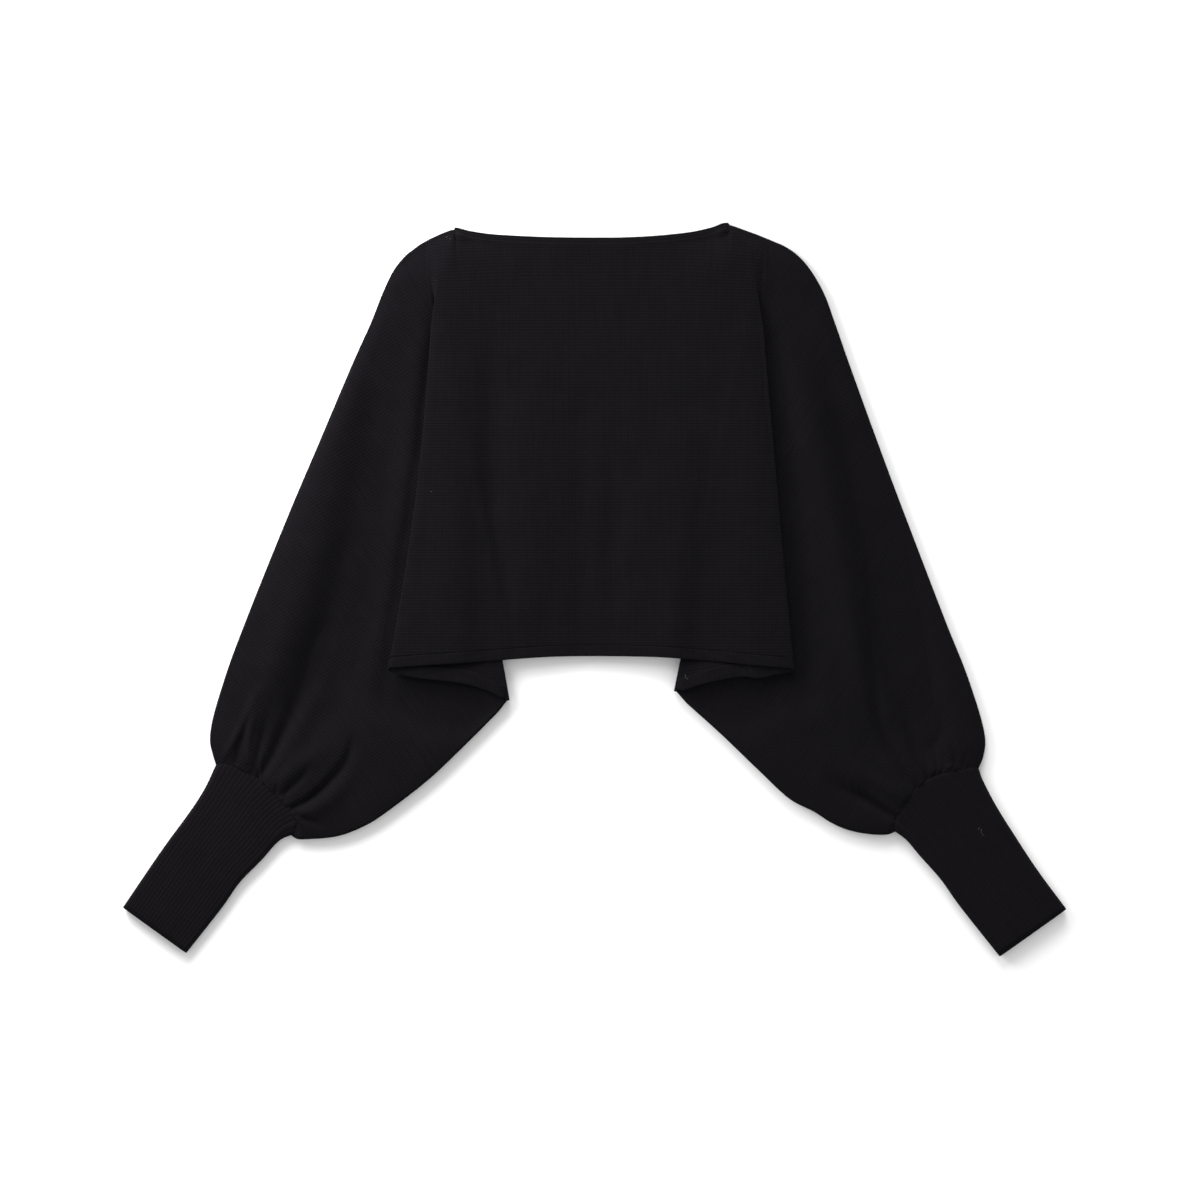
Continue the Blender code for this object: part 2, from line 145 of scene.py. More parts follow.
# Lines across a sleeve, wrist first: how many columns of the mesh run from it to the next,
# its ends on the upper and the under seam, those seams' heights, and the levels of front
# and back between them.
SleeveLine = namedtuple("SleeveLine", "columns top_x top_y low_x low_y seam_top seam_low front back")
LEFT_SLEEVE = (
    SleeveLine(6, -378.5, -172.5, -302, -244.3, 5.3, 5.3, 9.6, 1.3),
    SleeveLine(6, -381.8, -162, -298, -247, 5.3, 5.9, 10.0, 1.0),
    SleeveLine(7, -384.4, -149, -294, -247.8, 5.0, 7.0, 10.4, 0.8),
    SleeveLine(9, -382, -129, -288, -247.8, 5.0, 7.0, 10.6, 0.8),
    SleeveLine(15, -370.3, -89, -281, -247.5, 4.8, 7.0, 10.6, 0.8),
    SleeveLine(16, -348.3, -29, -274, -247.2, 4.7, 7.0, 10.6, 0.8),
    SleeveLine(18, -308, 71, -265, -246.3, 4.7, 7.0, 10.6, 0.8),
    SleeveLine(14, -274, 151, -259, -245.3, 4.7, 7.0, 10.6, 0.8),
    SleeveLine(11, -240, 231, -252, -243.6, 4.7, 7.0, 10.6, 0.8),
    SleeveLine(8, -222, 271, -247, -242, 4.7, 7.0, 10.6, 0.9),
    SleeveLine(7, -211, 299, -242, -240, 4.6, 7.0, 10.7, 1.4),
    SleeveLine(6, -200, 321.5, -234, -236.5, 4.4, 7.0, 10.8, 2.2),
    SleeveLine(6, -189.5, 334.5, -220, -229, 4.2, 7.0, 10.9, 3.2),
    SleeveLine(7, -181, 341.5, -197, -212.5, 4.0, 7.0, 11.0, 4.2),
    SleeveLine(7, -173.5, 347, -163, -185.5, 3.6, 7.0, 11.2, 4.7),
    SleeveLine(8, -169, 349.5, -128, -152, 3.0, 7.0, 11.4, 4.8),
    SleeveLine(1, -167.5, 350.4, -96.5, -120.5, 3.0, 7.0, 11.6, 4.8),
)
RIGHT_SLEEVE = (
    SleeveLine(6, 383.3, -176, 298.6, -240, 5.3, 5.3, 9.6, 1.3),
    SleeveLine(6, 387.6, -165, 295.5, -241.8, 5.3, 5.9, 10.0, 1.0),
    SleeveLine(7, 389.8, -150, 291, -243, 5.0, 7.0, 10.4, 0.8),
    SleeveLine(9, 386, -129, 286, -243.4, 5.0, 7.0, 10.6, 0.8),
    SleeveLine(15, 373.3, -89, 279, -243.2, 4.8, 7.0, 10.6, 0.8),
    SleeveLine(16, 349.5, -29, 272, -242.6, 4.7, 7.0, 10.6, 0.8),
    SleeveLine(18, 311, 71, 263, -241.2, 4.7, 7.0, 10.6, 0.8),
    SleeveLine(14, 281, 151, 257, -239.8, 4.7, 7.0, 10.6, 0.8),
    SleeveLine(11, 252, 231, 250, -237.7, 4.7, 7.0, 10.6, 0.8),
    SleeveLine(8, 238, 271, 245, -235.8, 4.7, 7.0, 10.6, 0.9),
    SleeveLine(7, 227.5, 299, 240, -233.5, 4.6, 7.0, 10.7, 1.4),
    SleeveLine(6, 214, 322, 232, -229, 4.4, 7.0, 10.8, 2.2),
    SleeveLine(6, 202, 335.5, 219, -220.5, 4.2, 7.0, 10.9, 3.2),
    SleeveLine(7, 190, 344, 195, -208, 4.0, 7.0, 11.0, 4.2),
    SleeveLine(7, 179.5, 348.8, 162, -177.5, 3.6, 7.0, 11.2, 4.7),
    SleeveLine(8, 174.5, 351, 126, -143, 3.0, 7.0, 11.4, 4.8),
    SleeveLine(1, 172, 352, 92, -112.5, 3.0, 7.0, 11.6, 4.8),
)

# Lines down the body, from the pleat to the middle: the end on the shoulder or the neck
# edge, the end on the hem, whether the neckband takes its end, and the front's heights at
# its upper end, at the pleats' apex and at the hem.
BodyLine = namedtuple("BodyLine", "columns top_x top_y hem_x hem_y neck top_z apex_z hem_z")
LEFT_BODY = (
    BodyLine(7, -150.5, 358.4, -202, -76.7, 0, 3.2, 14.4, 19.6),
    BodyLine(6, -146.5, 359.8, -176, -74.5, 0, 3.2, 14.4, 19.6),
    BodyLine(3, -142, 360.9, -153, -73.2, 0, 3.3, 14.2, 19.4),
    BodyLine(7, -138, 360.6, -140, -72.3, 1, 8.3, 13.8, 18.8),
    BodyLine(6, -123, 357.2, -114, -70.6, 1, 8.5, 12.2, 15.9),
    BodyLine(5, -102, 354.3, -90, -68.8, 1, 8.7, 10.6, 12.9),
    BodyLine(6, -80, 352.9, -68, -67.1, 1, 8.9, 9.8, 11.8),
    BodyLine(6, -53, 351.7, -45, -65.8, 1, 9.0, 9.4, 11.3),
    BodyLine(6, -25, 351.1, -23, -65.2, 1, 9.0, 9.1, 11.0),
    BodyLine(0, -2, 351, 0, -65, 1, 9.0, 9.0, 10.9),
)
RIGHT_BODY = (
    BodyLine(7, 156, 358.3, 194, -77.2, 0, 3.2, 14.4, 19.6),
    BodyLine(6, 147, 361.5, 170, -75, 0, 3.2, 14.4, 18.8),
    BodyLine(3, 137, 364.9, 150, -73.4, 0, 3.3, 14.3, 17.6),
    BodyLine(7, 130.5, 365.6, 137, -72, 1, 8.3, 14.2, 16.6),
    BodyLine(6, 116, 361, 110, -69.5, 1, 8.5, 13.4, 14.7),
    BodyLine(5, 97, 356.8, 87, -67.6, 1, 8.7, 12.0, 14.4),
    BodyLine(6, 76, 354.2, 66, -66.2, 1, 8.9, 10.8, 13.8),
    BodyLine(6, 51, 352.2, 44, -65.5, 1, 9.0, 9.9, 12.6),
    BodyLine(6, 24, 351.1, 22, -65.2, 1, 9.0, 9.3, 11.5),
    BodyLine(0, -2, 351, 0, -65, 1, 9.0, 9.0, 10.9),
)

# A pleat's two folds start at the upper edge, cross at the apex and spread downwards, the
# inner fold to the tip where the side seam starts, the outer fold to the hem's corner. The
# strip between them is turned wrong side up, and its own hem runs through strip_hem. The
# stack gives the heights of sleeve, strip at the inner and the outer fold, and body, at the
# apex and at the hem. Side is +1 where the body lies towards +X of the folds.
Pleat = namedtuple(
    "Pleat", "inner_top outer_top apex tip corner strip_corner strip_hem bow side"
)
LEFT_PLEAT = Pleat(
    (-166, 351.3), (-154, 356.9), (-160, 311), (-86, -109.5), (-207.5, -77), (-205, -81),
    ((-90, -109), (-99, -103.5), (-112, -98), (-128, -93), (-148, -90), (-168, -88), (-188, -85)),
    8.0, 1,
)
RIGHT_PLEAT = Pleat(
    (170, 352.8), (160, 356.9), (164, 311), (79.5, -100.5), (199, -77.8), (196.5, -81),
    ((83, -101), (91, -98.5), (102, -94.5), (118, -90.3), (136, -86.8), (150, -85.4), (163, -87.4),
     (180, -83.5)), 1.0, -1,
)
Stack = namedtuple("Stack", "sleeve strip_inner strip_outer body")
FRONT_STACK = (Stack(11.7, 12.8, 12.8, 14.2), Stack(8.8, 11.6, 15.0, 19.6))
BACK_STACK = (Stack(4.8, 2.8, 2.8, 0.8), Stack(4.8, 2.8, 2.8, 0.8))
TIP_SEAM = 7.0
SHOULDER_SEAM = 3.0
ARC_COLUMNS = 9
STRIP_COLUMNS = 14
WIDEST_BULGE = 2.5
TURN_ABOVE, TURN_REACH = 6.0, 70.0  # the folds form from this far above the apex, over this much
APEX_SPREAD = 5.0  # above that, the step from sleeve to body is twice this wide
SPREAD_DEPTH = 20.0  # from this far below the shoulder
BESIDE_APEX = 7.0  # sleeve and body pass this far to either side of the apex
TURN_COLUMNS = 45  # across the shoulder the knit turns over this many columns to a side
TURN_ROWS = 12  # and from shoulder to pleat over this many rows to a side
BLEND_COLUMNS = 12  # the apex is reached over this many columns beside a pleat

Side = namedtuple("Side", "sleeve body pleat wrist_bow")
# The wrist seam bows up the sleeve: (share of the way round, height of the bow)
LEFT = Side(LEFT_SLEEVE, LEFT_BODY, LEFT_PLEAT,
            ((0, 0), (0.08, 7.4), (0.24, 14.2), (0.44, 16.8), (0.62, 17.2), (0.82, 16), (0.94, 11.8), (1, 0)))
RIGHT = Side(RIGHT_SLEEVE, RIGHT_BODY, RIGHT_PLEAT,
             ((0, 0), (0.24, 13), (0.48, 20), (0.64, 20), (0.79, 14.5), (0.91, 7), (1, 0)))
WRIST_BOW_REACH = 34.0  # the bow dies out this far up the sleeve, as columns do

# Creases, given one by one: the layer that each one runs on, its path as x, y, height (a
# trough's is negative) and half width, and how much wider it is to the left of its path.
Crease = namedtuple("Crease", "layer path lean", defaults=(0.0,))
FRONT_CREASES = (
    # left sleeve
    Crease("sleeve", ((-206, 260, 0, 12), (-216, 211, -2, 12), (-232, 131, -3, 12),
        (-247, 51, -3.8, 12), (-268, -29, -6, 11), (-279, -62, -7, 10), (-294, -102, -7, 8),
        (-311, -140, -6.4, 5.2), (-326, -172, -4.6, 4), (-339, -190, -2.4, 2.8))),
    Crease("sleeve", ((-226, 260, 0, 11), (-240, 211, 1.6, 13), (-262, 131, 3.2, 16),
        (-281, 51, 4.4, 17), (-304, -29, 5, 15), (-321, -80, 4.6, 11), (-336, -120, 2.6, 8),
        (-346, -150, 0, 6))),
    Crease("sleeve", ((-206, 190, 0, 12), (-216, 131, -2, 13), (-228, 51, -3, 14), (-245, -29, -5, 15),
        (-259, -80, -5.8, 16), (-273, -124, -5, 13), (-288, -154, -2, 8))),
    Crease("sleeve", ((-186, 270, 0, 9), (-194, 211, -2.2, 11), (-203, 131, -3.2, 12),
        (-213, 51, -3.6, 12), (-226, -29, -4.6, 14), (-238, -80, -4.2, 15), (-248, -130, -1.6, 13),
        (-255, -160, 0, 10))),
    Crease("sleeve", ((-333, -92, 0, 4), (-345, -118, 2.4, 3), (-358, -146, 3, 2.4),
        (-370, -166, 1.2, 2))),
    Crease("sleeve", ((-338, -110, 0, 3), (-344, -140, 2.1, 2.4), (-347, -170, 1.4, 2))),
    Crease("sleeve", ((-346, -112, 0, 4), (-352, -142, -2.7, 3), (-358, -170, -2.1, 2.5))),
    Crease("sleeve", ((-326, -120, 0, 4), (-333, -150, -2.4, 3), (-341, -180, -2.1, 2.5))),
    Crease("sleeve", ((-238, -138, 0, 5), (-248, -167, -3.9, 3.4), (-268, -192, -5.1, 3),
        (-290, -210, -4.8, 2.8), (-308, -218, -2.4, 2.4)), 0.3),
    Crease("sleeve", ((-236, -176, 0, 6), (-262, -206, 2.4, 5), (-296, -226, 1.2, 4))),
    Crease("sleeve", ((-283, -172, 0, 3), (-294, -187, -2.7, 2.6), (-312, -203, -2.2, 2.4))),
    Crease("sleeve", ((-268, -156, 0, 7), (-292, -172, 2.1, 6), (-318, -192, 1.4, 4))),
    Crease("sleeve", ((-268, -234, 0, 3), (-280, -230, -2.4, 2.6), (-297, -224, -2.2, 2.4))),
    # right sleeve
    Crease("sleeve", ((226, 250, 0, 12), (238, 180, -4.4, 12), (255, 110, -6.6, 13),
        (270, 50, -7.6, 13), (284, -10, -8, 13), (296, -60, -8, 13), (310, -110, -7.4, 12),
        (325, -152, -5.6, 9), (335, -184, -2.6, 6))),
    Crease("sleeve", ((250, 200, 0, 10), (268, 131, -5.6, 13), (297, 51, -9, 14), (311, -9, -10, 14),
        (321, -60, -10.6, 13), (329, -110, -10, 12), (336, -150, -6, 9), (344, -178, -1, 6))),
    Crease("sleeve", ((198, 240, 0, 12), (214, 180, 3.4, 12), (235, 90, 6, 12), (251, -9, 7, 11.5),
        (262, -80, 6, 10.5), (273, -145, 0, 9))),
    Crease("sleeve", ((300, 40, 0, 6), (310, -9, -2.4, 5), (320, -59, -3.3, 4.5), (328, -99, -3.9, 4),
        (340, -139, -4.2, 3.2), (352, -171, -2.7, 2.6))),
    Crease("sleeve", ((268, 20, 0, 6), (272, -19, -2.1, 5), (278, -89, -3, 4.5), (287, -144, -3.6, 4),
        (304, -176, -3.6, 3.2), (320, -200, -2.1, 2.6))),
    Crease("sleeve", ((340, -112, 0, 3), (349, -141, -2.5, 2.6), (361, -172, -1.8, 2.2))),
    Crease("sleeve", ((333, -118, 0, 3), (345, -150, 2.1, 2.4), (355, -174, 1.2, 2))),
    Crease("sleeve", ((316, -120, 0, 4), (328, -150, 2.2, 3), (340, -178, 1.4, 2.4))),
    Crease("sleeve", ((308, -130, 0, 4), (318, -158, -2.1, 3), (331, -186, -1.8, 2.4))),
    Crease("sleeve", ((226, -184, 0, 4), (245, -194, -3.9, 3.2), (267, -204, -5.1, 3),
        (290, -219, -4.8, 2.8), (304, -227, -2.1, 2.4)), -0.3),
    Crease("sleeve", ((240, -170, 0, 6), (272, -186, 2.2, 5), (306, -206, 1.2, 4))),
    # the sleeves sink, and the body rolls down, beside the pleats' outer folds
    Crease("sleeve", ((-155, 300, 0, 7), (-156, 270, -3.4, 8), (-160, 211, -8, 8.5),
        (-170, 131, -8, 8.5), (-181, 51, -7.8, 9), (-195, -29, -6.6, 9), (-205, -80, -5.2, 9),
        (-214, -130, 0, 9))),
    Crease("sleeve", ((170, 300, 0, 7), (173, 276, -1.8, 7), (178, 244, -5, 8), (183, 201, -6, 10),
        (190, 141, -6, 11), (197, 71, -6, 11), (204, -9, -5.6, 11), (210, -70, -4.6, 11),
        (220, -130, 0, 10))),
    Crease("body", ((-160, 280, 0, 5), (-176, 111, -0.5, 6), (-206, -72, -0.6, 6))),
    Crease("body", ((166, 296, 0, 6), (172, 230, -2, 8), (182, 131, -2.4, 8), (192, 31, -2.2, 7.5),
        (198, -72, -1.6, 7.5))),
    # shade below each strip, where the sleeve sinks between pleat and underarm
    Crease("sleeve", ((-92, -118, 0, 7), (-110, -121, -5, 11), (-140, -122, -7.4, 15),
        (-175, -117, -6.6, 16), (-208, -109, -3, 14), (-240, -100, 0, 12))),
    Crease("sleeve", ((86, -111, 0, 7), (104, -114, -5, 11), (132, -115, -7.2, 15), (165, -112, -6, 15),
        (196, -106, -2.6, 14), (224, -98, 0, 12))),
    # body
    Crease("body", ((-104, 270, 0, 12), (-106, 211, -2.6, 11), (-104, 131, -3, 11), (-107, 51, -3, 11),
        (-101, -29, -3.2, 12), (-99, -62, -2.6, 12))),
    Crease("body", ((130, 270, 0, 10), (135, 211, -1.6, 10), (132, 131, -2, 10), (119, 51, -2.2, 10),
        (114, -29, -2.2, 10), (112, -62, -2, 10))),
    Crease("body", ((-12, 240, 0, 11), (-13, 150, -1.2, 10), (-13, 30, -1.9, 9), (-14, -62, -1.6, 9))),
    Crease("body", ((20, 200, 0, 8), (19, 120, -1.4, 8), (17, 20, -2, 8), (14, -58, -0.6, 8))),
    Crease("body", ((-132, 270, 0, 11), (-134, 211, 1.4, 11), (-133, 131, 2.8, 10), (-134, 51, 4, 10),
        (-136, -29, 4.4, 10), (-138, -62, 3.2, 11))),
    Crease("body", ((-60, 260, 0, 16), (-64, 120, 1.6, 16), (-68, -20, 1.8, 15), (-70, -60, 1.2, 15))),
    Crease("body", ((44, 250, 0, 16), (50, 120, 1.2, 16), (53, -20, 1, 15), (55, -60, 0.6, 15))),
    Crease("body", ((82, 240, 0, 14), (86, 131, 1.6, 14), (82, 51, 2.6, 13), (80, -29, 3.2, 12),
        (80, -62, 2.6, 12))),
    Crease("body", ((142, 240, 0, 12), (147, 120, 2, 12), (151, 0, 2.8, 12), (154, -58, 2, 12))),
    # strips
    Crease("strip", ((-122, -66, 0, 12), (-128, -80, 1.8, 13), (-134, -96, 3.2, 14))),
    Crease("strip", ((-158, -66, 0, 10), (-162, -78, 1, 11), (-166, -90, 2, 12))),
    Crease("strip", ((112, -66, 0, 11), (120, -78, 1.8, 12), (126, -92, 3.2, 13))),
    Crease("strip", ((150, -66, 0, 8), (156, -76, 1.4, 8), (160, -88, 2.2, 9))),
)
# The back lies on the floor, so its creases only rise from it.
BACK_CREASES = (
    Crease("sleeve", ((-262, 60, 0, 10), (-290, -40, 0.9, 9), (-312, -110, 1.5, 6), (-338, -176, 1.4, 4))),
    Crease("sleeve", ((-240, -150, 0, 6), (-268, -186, 1.4, 5), (-304, -214, 1.2, 3.5))),
    Crease("sleeve", ((-318, -96, 0, 5), (-340, -136, 1.3, 4), (-358, -170, 1.1, 3))),
    Crease("sleeve", ((266, 70, 0, 11), (288, -30, 0.9, 10), (316, -110, 1.5, 7), (336, -180, 1.3, 4))),
    Crease("sleeve", ((238, -150, 0, 6), (270, -190, 1.4, 5), (302, -214, 1.2, 3.5))),
    Crease("sleeve", ((322, -90, 0, 5), (344, -136, 1.3, 4), (362, -170, 1.1, 3))),
    Crease("body", ((-64, 240, 0, 14), (-68, 100, 0.9, 13), (-62, -50, 0.6, 12))),
    Crease("body", ((-20, 200, 0, 12), (-14, 60, 0.8, 12), (-20, -50, 0.5, 12))),
    Crease("body", ((66, 230, 0, 14), (62, 90, 0.9, 13), (66, -50, 0.6, 12))),
)
PATH_STEPS = 30
CREASE_REACH = 3.5  # half widths, past which a crease adds nothing
CREASE_EDGE = 9.0  # creases die out this far inside a sewn edge

# Gathers at the wrist: small folds that run up the sleeve from the cuff's seam. Their ends
# are shifted and their heights and lengths vary within these shares.
GATHERS, GATHER_HEIGHT, GATHER_LENGTH, GATHER_SEED = 11, 2.0, 17.0, 5
GATHER_SHIFTS, GATHER_HEIGHTS, GATHER_LENGTHS = (-0.3, 0.3), (0.45, 1.25), (0.6, 1.7)
GATHER_VALLEY = 0.55  # the share of a gather's height that lies below the cloth's level
GATHER_RISE, GATHER_AT_SEAM = 5.0, 0.1  # it grows over this much from this share at the seam
BACK_GATHERS = 0.4  # the back's are this share of the front's
FINE_PLEATS, FINE_HEIGHT, FINE_LENGTH = 24, 0.4, 7.0
WRIST_PUFF, WRIST_PUFF_AT, WRIST_PUFF_REACH = 1.9, 20.0, 16.0

# Slow unevenness of cloth that was smoothed by hand: waves of a few sizes
RIPPLE_SEED = 12
RIPPLES = 26
RIPPLE_HEIGHT = 0.11
RIPPLE_LENGTHS = (22.0, 75.0)

# Stitches: one wale and one course of the jersey
WALE, COURSE = 3.5, 3.0


def mix(a, b, share):
    """The value this share of the way from a to b."""
    return a + (b - a) * share


def ease(share):
    """A share that starts and ends gently: 3 s^2 - 2 s^3, within 0 and 1."""
    share = np.clip(share, 0, 1)
    return share * share * (3 - 2 * share)


def unit(vectors):
    """The vectors at length one."""
    return vectors / np.linalg.norm(vectors, axis=-1, keepdims=True)


def through(knots, values, at):
    """A smooth curve through values at knots: a cubic between each two, whose slope at a
    knot is the average of the slopes to its neighbours, weighted by the nearer one."""
    knots, values = np.asarray(knots, float), np.asarray(values, float)
    slopes = np.gradient(values, knots, axis=0)
    piece = np.clip(np.searchsorted(knots, at, side="right") - 1, 0, len(knots) - 2)
    width = (knots[piece + 1] - knots[piece])[:, None]
    t = (at - knots[piece])[:, None] / width
    return (
        values[piece] * (1 + 2 * t) * (1 - t) ** 2
        + slopes[piece] * width * t * (1 - t) ** 2
        + values[piece + 1] * (3 - 2 * t) * t**2
        + slopes[piece + 1] * width * t**2 * (t - 1)
    )


def smooth_most(a, b, softness):
    """The greater of two heights, rounded where they meet: (a + b + sqrt((a - b)^2 +
    softness^2)) / 2."""
    return (a + b + np.sqrt((a - b) ** 2 + softness**2)) / 2


def columns_of(lines):
    """A table's lines at every column of the mesh, its first field left out."""
    table = np.array(lines, float)
    knots = np.concatenate([[0], np.cumsum(table[:-1, 0])])
    return through(knots, table[:, 1:], np.arange(knots[-1] + 1))


def lay_lines(top, apex, low, open_top, open_low):
    """Lay straight lines from top through apex to low, as a grid of plan points.

    The rows are close inside both ends, where they follow a quarter round of EDGE_REACH,
    or even steps from open_top or open_low, the inset of an open edge (0 where sewn).
    Also returned: each point's distance from its upper and its lower end.
    """
    quarter = np.linspace(0, np.pi / 2, EDGE_STEPS)
    sewn_inset = EDGE_INSET + EDGE_REACH * (1 - np.cos(quarter))
    open_step = np.linspace(0, EDGE_REACH + EDGE_INSET, EDGE_STEPS)

    def spread(end, inset, rows):
        """Points from one end to the apex, and their distances from that end."""
        inset = np.broadcast_to(inset, len(end))[:, None]
        near = np.where(inset > 0, inset + open_step, sewn_inset)
        reach = np.linalg.norm(apex - end, axis=1)[:, None]
        share = np.linspace(0, 1, rows - EDGE_STEPS + 1)[1:]
        distance = np.hstack([near, mix(near[:, -1:], reach, share)])
        return end[:, None] + unit(apex - end)[:, None] * distance[..., None], distance

    upper, from_top = spread(top, open_top, ROWS_ABOVE)
    lower, from_low = spread(low, open_low, ROWS_BELOW + 1)
    plan = np.concatenate([upper, lower[:, -2::-1]], axis=1)
    path = np.cumsum(np.linalg.norm(np.diff(plan, axis=1), axis=2), axis=1)
    down = from_top[:, :1] + np.hstack([np.zeros((len(plan), 1)), path])
    up = from_low[:, :1] + down[:, -1:] - down
    return plan, down, up


def heights_of(down, up, edge_top, shoulder_top, apex_z, fold_z, edge_low, shoulder_low):
    """Heights along lines: an edge, a quarter round to the shoulder inside it, then the
    level, reached as 1 - (1 - u)^PUFF of the way to the apex, and the same at the low end."""
    def column(value):
        return np.broadcast_to(value, len(down)).astype(float)[:, None]

    reach = np.minimum(APEX_DEPTH, APEX_SHARE * (down[:, -1:] + up[:, -1:]))
    share = ease((np.arange(down.shape[1]) - ROWS_ABOVE + 1) / ROWS_BELOW)
    level = mix(column(apex_z), column(fold_z), share)
    quarter = np.sin(np.linspace(0, np.pi / 2, EDGE_STEPS))
    for distance, edge, shoulder, rounded in (
        (down, column(edge_top), column(shoulder_top), slice(None, EDGE_STEPS)),
        (up, column(edge_low), column(shoulder_low), slice(None, -EDGE_STEPS - 1, -1)),
    ):
        inside = distance - distance[:, rounded].max(axis=1, keepdims=True)
        filled = 1 - (1 - np.clip(inside / reach, 0, 1)) ** PUFF
        level = np.where(inside < reach, mix(shoulder, level, filled), level)
        level[:, rounded] = mix(edge, shoulder, quarter)
    return level


def sewn_edge(seam, is_front, level):
    """Edge and shoulder heights where front and back meet at a seam of this height."""
    if is_front:
        return seam + SEAM_HALF_GAP, seam + EDGE_RISE
    return seam - SEAM_HALF_GAP, np.minimum(level, seam - 2 * SEAM_HALF_GAP)


def wrist_bow(side, plan):
    """How far each point of a sleeve is moved up the sleeve by the bowed wrist seam: the
    bow at its share of the way round, dying out over WRIST_BOW_REACH columns."""
    share = np.linalg.norm(plan[0] - plan[0, 0], axis=1)
    share /= share[-1]
    knots, heights = np.transpose(side.wrist_bow)
    bow = through(knots, heights[:, None], share)
    along = plan[0, -1] - plan[0, 0]
    up_sleeve = unit(np.array([-along[1], along[0]]) * side.pleat.side)
    fade = 1 - ease(np.arange(len(plan)) / WRIST_BOW_REACH)
    return fade[:, None, None] * bow * up_sleeve


def lay_sleeve(side, is_front):
    """The sleeve's part of a panel: plan points, heights, and distances from both ends."""
    top_x, top_y, low_x, low_y, seam_top, seam_low, front, back = columns_of(side.sleeve).T
    top, low = np.column_stack([top_x, top_y]), np.column_stack([low_x, low_y])
    length = np.linalg.norm(low - top, axis=1)
    apex = top + unit(low - top) * np.minimum(APEX_DEPTH, APEX_SHARE * length)[:, None]
    toward_pleat = ease((np.arange(len(top)) - len(top) + 1 + BLEND_COLUMNS) / BLEND_COLUMNS)
    beside_pleat = np.array(side.pleat.apex) - [side.pleat.side * BESIDE_APEX, 0]
    apex += (beside_pleat - apex[-1]) * toward_pleat[:, None]
    plan, down, up = lay_lines(top, apex, low, 0.0, 0.0)
    level = front if is_front else back
    edges_top, edges_low = (sewn_edge(seam, is_front, level) for seam in (seam_top, seam_low))
    height = heights_of(down, up, *edges_top, level, level, *edges_low)
    return plan + wrist_bow(side, plan), height, down, up


def lay_body(side, is_front):
    """The body's part of a panel, from the pleat to the middle, as the sleeve's is given,
    its ends on the upper edge and on the hem, and which columns end on the neck."""
    top_x, top_y, hem_x, hem_y, neck, top_z, apex_z, hem_z = columns_of(side.body).T
    pleat = side.pleat
    hem = np.column_stack([hem_x, hem_y])
    top = np.column_stack([top_x, top_y])
    on_neck = neck > 0.5
    if not is_front:
        hem[:, 1] += BACK_HEM_LIFT
        top[:, 1] += BACK_NECK_RISE * on_neck
    apex = top + unit(hem - top) * APEX_DEPTH
    beside = 1 - ease(np.arange(len(top)) / BLEND_COLUMNS)
    apex += (np.array(pleat.apex) + [pleat.side * BESIDE_APEX, 0] - apex[0]) * beside[:, None]
    plan, down, up = lay_lines(top, apex, hem, BAND_INSET * on_neck, HEM_INSET)
    share = np.clip((np.arange(plan.shape[1]) - ROWS_ABOVE + 1) / ROWS_BELOW, 0, 1)
    plan[..., 0] += pleat.side * pleat.bow * np.sin(np.pi * share) * beside[:, None]
    if not is_front:
        top_z = apex_z = hem_z = np.full(len(top), FLOOR_LEVEL)
    seam_edges = sewn_edge(SHOULDER_SEAM, is_front, FLOOR_LEVEL)
    edge, shoulder = (np.where(on_neck, top_z, seam_edge) for seam_edge in seam_edges)
    height = heights_of(down, up, edge, shoulder, apex_z, hem_z, hem_z, hem_z)
    return (plan, height, down, up), top, hem, on_neck


